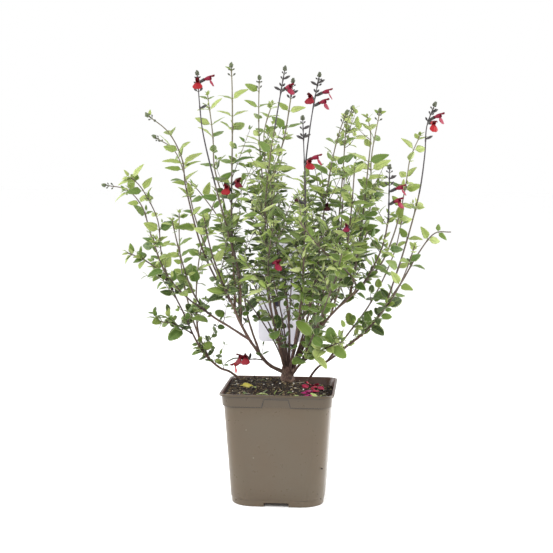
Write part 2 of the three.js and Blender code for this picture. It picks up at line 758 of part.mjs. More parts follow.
function growBlooms() {
  for (const stem of stems) {
    const { woodEnd, greenEnd, last } = stemParts(stem);
    const node = stem.dark ? `raceme_${shortName(stem)}` : stem.node;
    const path = stem.dark ? walk(stem, greenEnd, last) : walk(stem, woodEnd, last);
    let count = 0;
    for (const [distance, compass, open] of stem.blooms ?? []) {
      const { point } = pointAt(path, distance);
      const calyxWay = towards(compass, steepness.calyx);
      keep(node, colours.raceme, [calyxSolid(point, calyxWay)]);
      take(point.clone().addScaledVector(calyxWay, calyx.length * 0.7), 4, node);
      if (open) {
        count += 1;
        const start = point.clone().addScaledVector(calyxWay, calyx.length + 0.8 + 2 * gap);
        const flowerWay = towards(compass, steepness.flower);
        keep(`flower_${shortName(stem)}_${count}`, colours.flower, [flowerSolid(start, flowerWay)]);
        take(start.clone().addScaledVector(flowerWay, flower.tube * 0.5), 4, "flowers");
        take(start.clone().addScaledVector(flowerWay, flower.tube + 4), 9, "flowers");
      }
    }
  }
}

function growTips() {
  stems.forEach((stem, order) => {
    const { last } = stemParts(stem);
    if (stem.tip === "buds" || stem.tip === "raceme") {
      const node = stem.dark ? `raceme_${shortName(stem)}` : stem.node;
      const path = walk(stem, last - 1, last);
      const { point, direction } = pointAt(path, path.total);
      keep(node, colours.shoot, budCluster(point, direction, order));
      take(point, 5, stem.node);
    }
  });
}

function growLeaves() {
  stems.forEach((stem, order) => {
    if (stem.node) {
      const { woodEnd, greenEnd } = stemParts(stem);
      keep(stem.node, colours.shoot, [leafyRod(stem, order, woodEnd, greenEnd)]);
    }
  });
}

// ---- the pot, the peat and the label ----
function roundedSquare(half, radius, z, lift = () => 0) {
  const ring = [];
  const steps = 4;
  for (let corner = 0; corner < 4; corner += 1) {
    for (let step = 0; step <= steps; step += 1) {
      const angle = (corner + step / steps) * (Math.PI / 2);
      const centreX = (half - radius) * (corner === 0 || corner === 3 ? 1 : -1);
      const centreY = (half - radius) * (corner < 2 ? 1 : -1);
      const x = centreX + radius * Math.cos(angle);
      const y = centreY + radius * Math.sin(angle);
      ring.push(new THREE.Vector3(x, y, z + lift(x, y)));
    }
  }
  return ring;
}

const collarFoot = potHeight - collarHeight;
const bodyHalf = (z) => THREE.MathUtils.lerp(footHalf, bodyTopHalf, z / collarFoot);
const bodyCorner = (z) => THREE.MathUtils.lerp(footCorner, rimCorner + 2, z / collarFoot);
const floorTop = potWall;

function box(width, depth, height, x, y, z) {
  const geometry = new THREE.BoxGeometry(width, depth, height);
  geometry.translate(x, y, z + height / 2);
  return geometry;
}

function potSolid() {
  const lipFoot = potHeight - lip.height;
  let pot = solidOf(loft([
    roundedSquare(footHalf - footStep.depth, footCorner, 0),
    roundedSquare(bodyHalf(footStep.height) - footStep.depth, footCorner, footStep.height),
    roundedSquare(bodyHalf(footStep.height), footCorner, footStep.height + 0.5),
    roundedSquare(bodyTopHalf, bodyCorner(collarFoot), collarFoot),
    roundedSquare(bodyTopHalf + collarProud.foot, rimCorner + 1, collarFoot + 0.8),
    roundedSquare(bodyTopHalf + collarProud.top, rimCorner, lipFoot - 0.6),
    roundedSquare(potHalf, rimCorner, lipFoot),
    roundedSquare(potHalf - 0.3, rimCorner, potHeight),
    roundedSquare(potHalf - lip.width, rimCorner - 1, potHeight),
    roundedSquare(bodyTopHalf - potWall, bodyCorner(collarFoot) - potWall, collarFoot - 4),
    roundedSquare(footHalf - potWall, footCorner - potWall, floorTop),
  ]));
  for (let side = 0; side < 4; side += 1) {
    const turn = (geometry) => solidOf(geometry.rotateZ((side * Math.PI) / 2));
    const roof = channel.height + potWall;
    const inner = -footHalf + channel.length;
    const middle = inner - channel.length / 2;
    const cover = box(channel.width + 2 * potWall, channel.length - 1, roof, 0, middle + 0.5, 0);
    const hollow = box(channel.width, channel.length + 8, channel.height, 0, middle - potWall - 4, 0);
    hollow.translate(0, 0, -0.001);
    const hole = new THREE.CylinderGeometry(drainHoleRadius, drainHoleRadius, 8, 8);
    hole.rotateX(Math.PI / 2).translate(0, inner - 12, channel.height + 1);
    pot = pot.add(turn(cover)).subtract(turn(hollow)).subtract(turn(hole));
    pot = pot.subtract(turn(recessCutter()));
  }
  return pot;
}

// The wedge that takes the tab recess out of the front of the collar.
function recessCutter() {
  const outline = new THREE.Shape();
  outline.moveTo(-tabRecess.foot / 2, -0.5);
  outline.lineTo(tabRecess.foot / 2, -0.5);
  outline.lineTo(tabRecess.top / 2, tabRecess.height);
  outline.lineTo(-tabRecess.top / 2, tabRecess.height);
  const cutter = new THREE.ExtrudeGeometry(outline, { depth: 6, bevelEnabled: false });
  cutter.rotateX(Math.PI / 2);
  cutter.rotateX(Math.atan(collarProud.top / collarHeight) * 0.6);
  return cutter.translate(0, -bodyTopHalf - 0.2, collarFoot);
}

function soilHeight(x, y) {
  const distance = Math.hypot(x - soilMound.x, y - soilMound.y) / soilMound.radius;
  const mound = soilMound.height * Math.exp(-distance * distance);
  const slope = -0.055 * x - 0.03 * y * (x > 0 ? 1 : -0.6);
  const lumps = soilRoughness * (random(Math.round(x) * 7.3 + Math.round(y) * 3.1) - 0.5) * 2;
  return mound + slope + lumps;
}

function soilSolid(holes) {
  const innerHalf = (z) => bodyHalf(z) - potWall - 0.5;
  const rings = [
    roundedSquare(footHalf - potWall - 0.5, footCorner - potWall, floorTop + gap),
    roundedSquare(innerHalf(soilLevel - 20), bodyCorner(soilLevel - 20) - potWall, soilLevel - 20),
  ];
  for (let ring = 0; ring < soilRings; ring += 1) {
    const half = innerHalf(soilLevel - 14) * (1 - ring / soilRings);
    const corner = Math.min(rimCorner + half * 0.25, half);
    rings.push(roundedSquare(half, corner, soilLevel, soilHeight));
  }
  let soil = solidOf(loft(rings));
  for (let side = 0; side < 4; side += 1) {
    const cover = box(
      channel.width + 2 * (potWall + gap), channel.length + 1, channel.height + potWall + gap,
      0, -footHalf + channel.length / 2 + 0.5, 0,
    );
    soil = soil.subtract(solidOf(cover.rotateZ((side * Math.PI) / 2)));
  }
  for (const hole of holes) {
    soil = soil.subtract(hole);
  }
  return soil;
}

const startsInPeat = (stem) => stem.limb && stem.route[0][2] < soilLevel + soilMound.height + 20;

// The room that a stem's foot takes in the peat: a copy of it, a little thicker and deeper.
function holeFor(stem) {
  const [[x, y, z], ...rest] = stem.route;
  const deeper = { ...stem, route: [[x, y, z - 1], ...rest] };
  return rod(deeper, 0, Math.min(stemParts(stem).woodEnd, 3), woodSides(stem), 2 * gap);
}

// Plate and stake as one outline, standing on the stake's point.
function labelGeometry(extra = 0) {
  const halfWidth = label.width / 2;
  const corner = label.corner;
  const stakeLeft = stake.aside - stake.width / 2 - extra;
  const stakeRight = stake.aside + stake.width / 2 + extra;
  const outline = new THREE.Shape();
  outline.moveTo(stake.aside, -stake.length - extra);
  outline.lineTo(stakeRight, -stake.length + stake.point);
  outline.lineTo(stakeRight, 0);
  outline.lineTo(halfWidth - corner, 0);
  outline.absarc(halfWidth - corner, corner, corner, -Math.PI / 2, 0);
  outline.lineTo(halfWidth, label.height - corner);
  outline.absarc(halfWidth - corner, label.height - corner, corner, 0, Math.PI / 2);
  outline.lineTo(-halfWidth + corner, label.height);
  outline.absarc(-halfWidth + corner, label.height - corner, corner, Math.PI / 2, Math.PI);
  outline.lineTo(-halfWidth, corner);
  outline.absarc(-halfWidth + corner, corner, corner, Math.PI, Math.PI * 1.5);
  outline.lineTo(stakeLeft, 0);
  outline.lineTo(stakeLeft, -stake.length + stake.point);
  const depth = label.thickness + 2 * extra;
  const plate = new THREE.ExtrudeGeometry(outline, { depth, bevelEnabled: false, curveSegments: 4 });
  plate.translate(0, 0, -depth / 2);
  plate.rotateX(Math.PI / 2 + labelLean);
  return plate.translate(label.x, label.y, label.z);
}

function takeLabel() {
  for (let x = -label.width / 2; x <= label.width / 2; x += 12) {
    for (let up = 0; up <= label.height; up += 12) {
      const y = label.y - up * Math.tan(labelLean);
      take(new THREE.Vector3(label.x + x, y, label.z + up), 6, "label");
    }
  }
}

// ---- what has fallen on the peat ----
// Each lies in a shallow hollow of its own.
const fallenBloom = { x: 46, y: 12, z: 165.4, petals: [20, 110, 215, 300], length: 14, hollow: 17 };
const fallenLeaf = { x: -60, y: -4, z: 167, compass: 10, length: 24, hollow: 15 };

function lyingBlade(lying, compass, blade, width) {
  const frame = {
    origin: new THREE.Vector3(lying.x, lying.y, lying.z),
    forward: towards(compass, 0),
    normal: new THREE.Vector3(0, 0, 1),
  };
  return bladeSolid(frame, blade, { length: lying.length, width, thickness: leaf.thickness });
}

function hollowUnder(lying, solid, reach) {
  const floor = solid.boundingBox().min[2] - gap;
  const hollow = new THREE.CylinderGeometry(lying.hollow, lying.hollow, 30, 14);
  hollow.rotateX(Math.PI / 2).translate(lying.x + reach, lying.y, floor + 15);
  return solidOf(hollow);
}

// ---- the finished group ----
function named(name, solid, colour, roughness) {
  const material = new THREE.MeshStandardMaterial({ color: colour, roughness, metalness: 0 });
  const mesh = new THREE.Mesh(geometryOf(solid), material);
  mesh.name = name;
  return mesh;
}

takeLabel();
growStems();
growBlooms();
growTips();
growLeaves();

const holes = stems.filter(startsInPeat).map(holeFor);
holes.push(solidOf(labelGeometry(gap)));

const petals = fallenBloom.petals.map((compass) => lyingBlade(fallenBloom, compass, lipBlade, 13));
const bloom = joined(petals);
holes.push(hollowUnder(fallenBloom, bloom, 0));
const yellowLeaf = lyingBlade(fallenLeaf, fallenLeaf.compass, leafBlade, 15);
holes.push(hollowUnder(fallenLeaf, yellowLeaf, fallenLeaf.length / 2));

const plant = new THREE.Group();
plant.add(named("pot", potSolid(), colours.pot, 0.6));
plant.add(named("soil", soilSolid(holes), colours.soil, 0.95));
plant.add(named("label", solidOf(labelGeometry()), colours.label, 0.4));
plant.add(named("fallen_petals", bloom, colours.fallen, 0.6));
plant.add(named("fallen_leaf", yellowLeaf, colours.fallenLeaf, 0.6));
for (const [node, { colour, solids }] of solidsByNode) {
  plant.add(named(node, joined(solids), colour, 0.6));
}

export default plant;
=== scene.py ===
import math

import bpy
import numpy as np
from mathutils import Matrix, Vector, noise


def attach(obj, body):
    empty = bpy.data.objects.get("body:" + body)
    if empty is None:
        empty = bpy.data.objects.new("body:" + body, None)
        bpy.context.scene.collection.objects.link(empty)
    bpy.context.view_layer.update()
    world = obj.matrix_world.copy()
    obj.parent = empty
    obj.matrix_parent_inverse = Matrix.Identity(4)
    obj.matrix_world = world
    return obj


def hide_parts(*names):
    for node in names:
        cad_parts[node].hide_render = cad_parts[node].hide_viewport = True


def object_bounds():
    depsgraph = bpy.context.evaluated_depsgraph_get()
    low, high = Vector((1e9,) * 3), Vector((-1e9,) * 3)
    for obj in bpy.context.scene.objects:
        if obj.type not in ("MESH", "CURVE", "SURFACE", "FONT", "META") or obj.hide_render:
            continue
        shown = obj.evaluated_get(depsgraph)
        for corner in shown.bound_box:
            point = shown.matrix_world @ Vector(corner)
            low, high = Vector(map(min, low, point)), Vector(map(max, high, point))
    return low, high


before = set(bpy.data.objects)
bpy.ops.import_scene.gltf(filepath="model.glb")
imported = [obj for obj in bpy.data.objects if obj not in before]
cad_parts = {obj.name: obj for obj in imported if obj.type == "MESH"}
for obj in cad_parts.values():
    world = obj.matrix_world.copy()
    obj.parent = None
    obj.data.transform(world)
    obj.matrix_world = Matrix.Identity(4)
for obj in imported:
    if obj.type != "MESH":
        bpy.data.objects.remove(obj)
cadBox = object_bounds()
mm = 0.001
tau = 2 * math.pi
print("frame loaded")


# ---- small tools ----
def chance(seed):  # an even spread of numbers from 0 to 1, the same each run
    wave = math.sin(seed * 12.9898 + 4.1414) * 43758.5453
    return wave - math.floor(wave)


def unit(v):
    return v / np.linalg.norm(v, axis=-1, keepdims=True)


def directionsOf(line):  # at each point of a line
    return unit(np.gradient(line, axis=0))


def around(side, over, angle):
    return side * math.cos(angle) + over * math.sin(angle)


def turnedAbout(v, axis, angle):
    return v * math.cos(angle) + np.cross(axis, v) * math.sin(angle)  # v is square to axis


def linear(hexColour):  # sRGB hex to the linear colour that shaders want
    parts = [int(hexColour[i:i + 2], 16) / 255 for i in (1, 3, 5)]
    return [p / 12.92 if p <= 0.04045 else ((p + 0.055) / 1.055) ** 2.4 for p in parts] + [1.0]


def addNode(tree, kind, settings=None, links=None):
    node = tree.nodes.new(kind)
    for name, value in (settings or {}).items():
        if name == "stops":  # of a colour ramp
            ramp = node.color_ramp
            while len(ramp.elements) < len(value):
                ramp.elements.new(0.5)
            for element, (place, colour) in zip(ramp.elements, value):
                element.position = place
                element.color = linear(colour)
        elif isinstance(name, int) or name in node.inputs:
            isHex = isinstance(value, str) and value.startswith("#")
            node.inputs[name].default_value = linear(value) if isHex else value
        else:
            setattr(node, name, value)
    for name, source in (links or {}).items():
        tree.links.new(source, node.inputs[name])
    return node


def newMaterial(name):
    material = bpy.data.materials.new(name)
    material.use_nodes = True
    material.node_tree.nodes.clear()
    return material, material.node_tree


def mixed(tree, share, first, second, how="MIX"):  # two colours, either a hex or a socket each
    node = addNode(tree, "ShaderNodeMix", {"data_type": "RGBA", "blend_type": how})
    for socket, value in ((0, share), (6, first), (7, second)):
        if isinstance(value, (str, float, int)):
            node.inputs[socket].default_value = linear(value) if isinstance(value, str) else value
        else:
            tree.links.new(value, node.inputs[socket])
    return node.outputs[2]


def mark(tree, name):  # what each point of a mesh knows about itself
    return addNode(tree, "ShaderNodeAttribute", {"attribute_name": name}).outputs["Fac"]


def placeOf(tree):
    return addNode(tree, "ShaderNodeTexCoord").outputs["Object"]


def maths(tree, how, *values):  # of numbers or sockets
    node = addNode(tree, "ShaderNodeMath", {"operation": how})
    for k, value in enumerate(values):
        if isinstance(value, (int, float)):
            node.inputs[k].default_value = value
        else:
            tree.links.new(value, node.inputs[k])
    return node.outputs[0]


def fade(tree, value, start, end, most=1.0, least=0.0):  # from `least` at `start` to `most` at `end`
    return addNode(tree, "ShaderNodeMapRange", {1: start, 2: end, 3: least, 4: most}, {0: value}).outputs[0]


def colourRamp(tree, value, stops):
    return addNode(tree, "ShaderNodeValToRGB", {"stops": stops}, {"Fac": value}).outputs["Color"]


def speckle(tree, size, **settings):  # noise with lumps of `size` millimetres
    settings["Scale"] = 1 / (size * mm)
    return addNode(tree, "ShaderNodeTexNoise", settings, {"Vector": placeOf(tree)}).outputs["Fac"]


def bumped(tree, height, strength, depth):  # depth in millimetres
    settings = {"Strength": strength, "Distance": depth * mm}
    return addNode(tree, "ShaderNodeBump", settings, {"Height": height}).outputs["Normal"]


def skinOf(tree, settings, colour, **links):
    return addNode(tree, "ShaderNodeBsdfPrincipled", settings, {"Base Color": colour, **links}).outputs[0]


def thinSkin(tree, skin, colour, share):  # a share of the light comes through
    glow = addNode(tree, "ShaderNodeBsdfTranslucent", None, {"Color": colour})
    return addNode(tree, "ShaderNodeMixShader", {0: share}, {1: skin, 2: glow.outputs[0]}).outputs[0]


def finish(tree, shader):
    addNode(tree, "ShaderNodeOutputMaterial", links={"Surface": shader})


boxFaces = [(0, 2, 3, 1), (4, 5, 7, 6), (0, 1, 5, 4), (2, 6, 7, 3), (0, 4, 6, 2), (1, 3, 7, 5)]


class Heap:  # shapes gathered for one mesh, in millimetres
    def __init__(self):
        self.points, self.quads, self.triangles, self.marks, self.size = [], [], [], {}, 0

    def add(self, points, quads, triangles, **marks):
        self.points.append(points)
        self.quads.append(np.asarray(quads, int).reshape(-1, 4) + self.size)
        self.triangles.append(np.asarray(triangles, int).reshape(-1, 3) + self.size)
        for name, values in marks.items():
            self.marks.setdefault(name, []).append((self.size, np.broadcast_to(values, (len(points),))))
        self.size += len(points)


def meshOf(name, heap):
    mesh = bpy.data.meshes.new(name)
    points = np.vstack(heap.points) * mm
    faces = np.vstack(heap.quads).tolist() + np.vstack(heap.triangles).tolist()
    mesh.from_pydata(points.tolist(), [], faces)
    for key, parts in heap.marks.items():
        values = np.zeros(len(points), np.float32)
        for start, part in parts:
            values[start:start + len(part)] = part
        mesh.attributes.new(key, "FLOAT", "POINT").data.foreach_set("value", values)
    return mesh


def makePiece(name, heap, material, nodes=(), sharpAngle=None):
    dress(name, meshOf(name, heap), material, nodes, sharpAngle)


def dress(name, mesh, material, nodes=(), sharpAngle=None):
    mesh.polygons.foreach_set("use_smooth", [True] * len(mesh.polygons))
    if sharpAngle is not None:
        mesh.set_sharp_from_angle(angle=math.radians(sharpAngle))
    mesh.materials.append(material)
    piece = bpy.data.objects.new(name, mesh)
    bpy.context.scene.collection.objects.link(piece)
    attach(piece, "root")
    if nodes:
        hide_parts(*nodes)


# ---- camera, floor and light ----
view = {
    "target": (-0.0066, -0.0005, 0.3364),
    "distance": 1.8928,
    "elevation": 5.228,
    "azimuth": 4.5,
    "roll": 0.334,
    "lens": 81.65,  # on a 36 mm sensor
}


def placeCamera():
    camera = bpy.data.objects.new("camera", bpy.data.cameras.new("camera"))
    camera.data.lens = view["lens"]
    camera.data.sensor_width = 36
    bpy.context.scene.collection.objects.link(camera)
    around = Matrix.Rotation(math.radians(view["azimuth"]), 4, "Z")
    tilt = Matrix.Rotation(math.radians(90 - view["elevation"]), 4, "X")
    roll = Matrix.Rotation(math.radians(view["roll"]), 4, "Z")
    back = Matrix.Translation((0, 0, view["distance"]))
    camera.matrix_world = Matrix.Translation(view["target"]) @ around @ tilt @ roll @ back
    bpy.context.scene.camera = camera


studio = {
    "sky": 1.0,  # white light from all round, which leaves almost no shadow
    "key": {"place": (-1.3, -1.9, 2.3), "size": 1.6, "power": 54},
    "fill": {"place": (2.0, -0.7, 1.5), "size": 1.4, "power": 12},
    "left": {"place": (-1.5, 0.35, 0.7), "size": 1.3, "power": 24},
    "right": {"place": (1.5, 0.35, 0.7), "size": 1.3, "power": 30},
    "floor": "#ffffff",
}


def buildStudio():
    scene = bpy.context.scene
    scene.view_settings.view_transform = "Standard"
    world = bpy.data.worlds.new("studio")
    world.use_nodes = True
    world.node_tree.nodes["Background"].inputs["Color"].default_value = (1, 1, 1, 1)
    world.node_tree.nodes["Background"].inputs["Strength"].default_value = studio["sky"]
    scene.world = world
    for name in ("key", "fill", "left", "right"):
        lamp = bpy.data.lights.new(name, "AREA")
        lamp.size = studio[name]["size"]
        lamp.energy = studio[name]["power"]
        lampObject = bpy.data.objects.new(name, lamp)
        lampObject.location = studio[name]["place"]
        aim = Vector((0, 0, 0.3)) - lampObject.location
        lampObject.rotation_euler = aim.to_track_quat("-Z", "Y").to_euler()
        scene.collection.objects.link(lampObject)
    material, tree = newMaterial("paper backdrop, matt")
    finish(tree, addNode(tree, "ShaderNodeBsdfPrincipled",
                         {"Base Color": studio["floor"], "Roughness": 0.9}).outputs[0])
    mesh = bpy.data.meshes.new("floor")
    half = 20
    corners = [(-half, -half, 0), (half, -half, 0), (half, half, 0), (-half, half, 0)]
    mesh.from_pydata(corners, [], [(0, 1, 2, 3)])
    mesh.materials.append(material)
    floor = bpy.data.objects.new("floor", mesh)
    scene.collection.objects.link(floor)


placeCamera()
buildStudio()
print("camera, floor and light placed")

# ---- stems ----
# Routes are in millimetres. `wood` is how many points are bark, `dark` how many spans at the end are a
# flowering top, and a bloom is (distance along its stretch, compass, whether it is open).
def shoot(name, wood, radius, tip, route, limb="main", **rest):  # a stretch from its root or fork to its tip
    return {"node": "shoot_" + name, "limb": "wood_" + limb, "wood": wood, "radius": radius, "tip": tip,
            "route": route, **rest}


stems = [
    shoot("left_pair", 6, 3.4, "buds", [(6, 30, 184), (-20, 22, 199), (-37, 12, 222), (-50, 4, 243),
        (-64, -4, 272), (-74, -8, 296), (-94, -16, 328), (-118, -30, 386), (-137, -46, 468),
        (-142, -54, 512), (-160, -63, 550), (-190, -70, 575)]),
    shoot("left_pair", 0, 2, "buds", [(-76, -9, 298), (-99, 10, 340), (-119, 22, 382), (-137, 36, 427),
        (-152, 54, 478), (-172, 68, 524), (-207, 82, 547)]),
    shoot("left_tall", 3, 2.3, "buds", [(-69, -6, 284), (-68, -22, 330), (-70, -34, 378), (-71, -37, 445),
        (-71, -32, 506), (-71, -28, 562), (-72, -24, 617), (-74, -20, 650)],
        blooms=[(87, 254, True), (96, 306, True)]),
    shoot("left_back", 2, 2, "leaves", [(-62, -3, 268), (-68, 26, 336), (-80, 42, 392), (-95, 62, 448),
        (-111, 76, 499), (-115, 86, 550), (-125, 98, 614)]),
    shoot("left_flowering", 2, 2, "raceme", [(-60, -2, 262), (-58, -46, 338), (-72, -58, 400),
        (-91, -70, 475), (-107, -78, 545), (-112, -83, 590), (-115, -86, 634)],
        dark=3, blooms=[(148, 345, True), (143, 275, True), (112, 20, False)]),
    shoot("centre_mid", 3, 2.4, "buds", [(9, 32, 186), (-2, 35, 240), (-15, 39, 300), (-23, 44, 370),
        (-25, 46, 412), (-32, 48, 474), (-38, 48, 540), (-39, 46, 590), (-38, 42, 636)]),
    shoot("centre_front", 3, 2.2, "raceme", [(8, 28, 190), (-6, 4, 250), (-17, -18, 305), (-20, -34, 365),
        (-20, -46, 440), (-14, -55, 505), (-6, -60, 556), (3, -64, 608), (9, -66, 642)],
        dark=2, blooms=[(54, 318, True), (56, 190, False), (72, 10, False)]),
    shoot("centre_back", 3, 2, "leaves", [(11, 35, 188), (10, 46, 250), (1, 54, 320), (-11, 68, 392),
        (-24, 84, 450), (-33, 98, 505), (-36, 110, 556), (-24, 112, 600)]),
    shoot("centre_upright", 3, 2.1, "raceme", [(10, 28, 190), (12, 16, 255), (6, 8, 320), (-8, 4, 386),
        (-15, 0, 446), (-8, -3, 500), (5, -7, 548), (14, -10, 604), (17, -10, 628)],
        dark=1, blooms=[(5, 350, False), (7, 200, False)]),
    shoot("front_dark", 3, 2.2, "raceme", [(12, 24, 188), (24, -12, 248), (33, -46, 303), (38, -74, 356),
        (41, -98, 420), (42, -108, 470), (40, -113, 520), (38, -116, 570)],
        dark=3, blooms=[(84, 295, True), (90, 350, True), (122, 170, False), (124, 10, False),
        (136, 20, False)]),
    shoot("centre_flowering", 3, 2.2, "raceme", [(13, 28, 190), (27, 12, 255), (34, -4, 320),
        (36, -20, 380), (36, -32, 440), (38, -42, 500), (44, -48, 553), (50, -51, 592), (58, -52, 634)],
        dark=3, blooms=[(97, 254, True), (90, 335, True), (105, 5, True), (121, 200, False),
        (124, 10, False)]),
    shoot("right_back_tall", 3, 2.5, "buds", [(14, 34, 186), (40, 44, 252), (64, 57, 315), (78, 68, 366),
        (85, 79, 430), (90, 86, 500), (94, 92, 562), (103, 93, 593)]),
    shoot("right_mid", 3, 2.1, "buds", [(15, 28, 190), (36, 8, 255), (50, -10, 318), (59, -26, 378),
        (67, -41, 446), (77, -51, 508), (87, -57, 550), (98, -60, 580)]),
    shoot("right_short", 2, 1.9, "leaves", [(58, 8, 258), (76, 14, 318), (86, 18, 376), (91, 21, 440),
        (94, 24, 498)]),
    shoot("right_front_short", 2, 1.9, "leaves", [(76, 0, 280), (92, -34, 336), (101, -60, 390),
        (107, -80, 446), (111, -97, 502)]),
    shoot("front_pale", 2, 1.9, "leaves", [(92, -4, 296), (114, -46, 324), (104, -86, 350), (80, -118, 374),
        (58, -140, 398), (36, -156, 428)]),
    shoot("right_fork", 6, 2.6, "raceme", [(13, 30, 180), (40, 19, 238), (68, 4, 270), (88, -4, 292),
        (106, -9, 307), (122, -14, 326), (138, -36, 354), (152, -58, 388), (159, -78, 426), (160, -90, 462),
        (160, -98, 502)], dark=2, blooms=[(24, 320, True), (43, 340, True), (62, 10, False)]),
    shoot("right_twin", 2, 2.3, "leaves", [(103, -8, 304), (110, -24, 340), (117, -38, 386),
        (124, -50, 440), (129, -58, 496), (133, -63, 545), (128, -63, 574)]),
    shoot("right_twin", 0, 1.9, "buds", [(110, -26, 344), (120, 2, 376), (130, 24, 414), (134, 44, 466),
        (134, 56, 518), (146, 69, 588)]),
    shoot("right_fork", 0, 2.1, "leaves", [(124, -16, 328), (150, 8, 356), (168, 34, 396), (180, 56, 438),
        (188, 72, 480), (194, 81, 516), (209, 86, 552)]),
    shoot("far_right", 6, 2.5, "raceme", [(34, 58, 118), (38, 56, 160), (52, 49, 188), (78, 40, 208),
        (102, 30, 230), (122, 20, 248), (152, 6, 282), (170, -14, 334), (188, -30, 396), (204, -43, 464),
        (211, -48, 520), (213, -50, 560), (224, -50, 592)],
        limb="right", dark=3, blooms=[(106, 330, True), (118, 20, False), (79, 5, False)]),
    shoot("far_right", 0, 2, "leaves", [(125, 19, 251), (146, 26, 274), (164, 31, 300), (184, 35, 330),
        (205, 37, 368), (230, 40, 401), (256, 42, 404)]),
    shoot("right_back", 2, 2, "leaves", [(70, 43, 202), (100, 72, 240), (131, 104, 280), (156, 132, 325),
        (174, 152, 370), (184, 164, 416)], limb="right"),
    shoot("right_front", 2, 2, "leaves", [(96, 33, 224), (128, 2, 254), (152, -36, 288), (172, -70, 322),
        (186, -100, 358), (196, -120, 392)], limb="right"),
    shoot("far_left", 6, 2.6, "leaves", [(-61, 62, 118), (-64, 60, 160), (-82, 57, 179), (-101, 52, 188),
        (-123, 44, 211), (-138, 34, 240), (-151, 24, 274), (-168, 14, 314), (-183, 6, 368), (-187, -4, 420),
        (-207, -13, 464), (-224, -16, 484)], limb="left"),
    shoot("far_left", 0, 1.9, "buds", [(-168, 15, 312), (-188, 26, 354), (-205, 36, 396), (-220, 46, 438),
        (-246, 55, 464), (-283, 60, 471)]),
    shoot("far_left", 0, 1.6, "leaves", [(-167, 15, 313), (-185, -10, 344), (-206, -24, 362),
        (-229, -30, 372)]),
    shoot("far_left", 0, 1.6, "leaves", [(-140, 33, 243), (-156, 22, 254), (-172, 12, 262), (-190, 6, 264)],
        leafScale=1.15),
    shoot("left_low_back", 2, 2, "leaves", [(-116, 47, 203), (-142, 76, 250), (-160, 106, 295),
        (-172, 130, 340), (-178, 148, 385), (-180, 160, 426)], limb="left"),
    shoot("left_rear", 2, 2, "leaves", [(-128, 41, 220), (-138, 72, 256), (-144, 106, 298),
        (-145, 140, 344), (-140, 170, 388), (-131, 192, 428), (-122, 206, 458)], limb="left"),
    shoot("left_front_low", 3, 2.2, "leaves", [(-47, 6, 238), (-77, -4, 259), (-106, -14, 279),
        (-124, -28, 303), (-137, -42, 338), (-147, -54, 380), (-156, -62, 424)]),
    shoot("left_front_low", 0, 1.9, "leaves", [(-108, -16, 281), (-132, -54, 306), (-152, -86, 335),
        (-166, -110, 368), (-172, -128, 402)]),
    shoot("back_left", 2, 2, "leaves", [(-32, 15, 215), (-54, 50, 264), (-68, 84, 318), (-86, 106, 372),
        (-108, 118, 416), (-140, 125, 458), (-156, 127, 474)]),
    shoot("front_left", 2, 2, "leaves", [(-54, 2, 250), (-72, -44, 306), (-86, -78, 350), (-95, -106, 392),
        (-100, -126, 432)]),
    shoot("front_low", 2, 2.2, "leaves", [(16, 26, 182), (30, 8, 202), (52, -24, 222), (74, -46, 237),
        (94, -60, 247)], leafSpacing=24),
    shoot("front_low", 0, 1.9, "leaves", [(31, 6, 206), (46, -34, 240), (62, -76, 280), (76, -110, 318),
        (88, -136, 352), (96, -156, 384)]),
    shoot("front_centre", 2, 2, "leaves", [(5, 24, 190), (-4, -14, 244), (-10, -50, 292), (-12, -84, 340),
        (-8, -112, 384), (0, -134, 424)], blooms=[(143, 318, True)]),
    shoot("rear", 3, 2.4, "leaves", [(15, 36, 184), (36, 54, 206), (48, 74, 232), (44, 106, 282),
        (38, 136, 335), (32, 158, 390), (28, 174, 440), (26, 182, 480)]),
    shoot("rear", 0, 2, "leaves", [(48, 76, 235), (68, 106, 278), (88, 136, 326), (104, 164, 375),
        (114, 184, 420), (118, 196, 456)]),
    shoot("low_bloom", 2, 1.3, "none", [(-24, 19, 204), (-28, 10, 207), (-40, 0, 210), (-54, -8, 209)],
        leafless=True, blooms=[(25, 262, True)]),
    {"limb": "wood_main", "wood": 4, "radius": 10.5, "tip": "none", "leafless": True,  # the trunk
     "route": [(8, 32, 118), (8, 31, 162), (9, 30, 184), (10, 29, 196)]},
]

branches = {  # which shoots are made as one piece
    "left": ["left_pair", "left_tall", "left_back", "left_flowering", "back_left", "front_left"],
    "farLeft": ["far_left", "left_low_back", "left_rear", "left_front_low"],
    "centreFront": ["centre_front", "centre_upright", "front_dark", "front_centre", "low_bloom"],
    "centreBack": ["centre_mid", "centre_back", "centre_flowering", "rear"],
    "right": ["right_back_tall", "right_mid", "right_short", "right_front_short", "front_pale"],
    "rightFork": ["right_fork", "right_twin", "front_low"],
    "farRight": ["far_right", "right_back", "right_front"],
}
branchOf = {"shoot_" + name: branch for branch, names in branches.items() for name in names}

growth = {
    "leaf length": 31, "leaf width": 18, "pair spacing": 53, "first pair at": 16,
    "light": (0.05, -0.9, 1),  # where most light comes from, which the leaves turn their faces to
    "twig light": (0.05, -0.45, 1),
    "pot half": 85,  # which the leaves keep outside
    "green tip radius": 0.95,
    "calyx length": 10, "flower tube": 10,
    "tiny leaf": 8.5,  # up to this length a leaf is never round
}
zone = {  # where the growth changes, as x and height
    "middle": 14, "crowd half": 115, "crowd foot": 285, "flank beyond": 100, "flank below": 460,
    "sparse beyond": 160, "sparse below": 400, "clean above": 470, "fresh foot": 262,
}
stepsPerSpan = 8


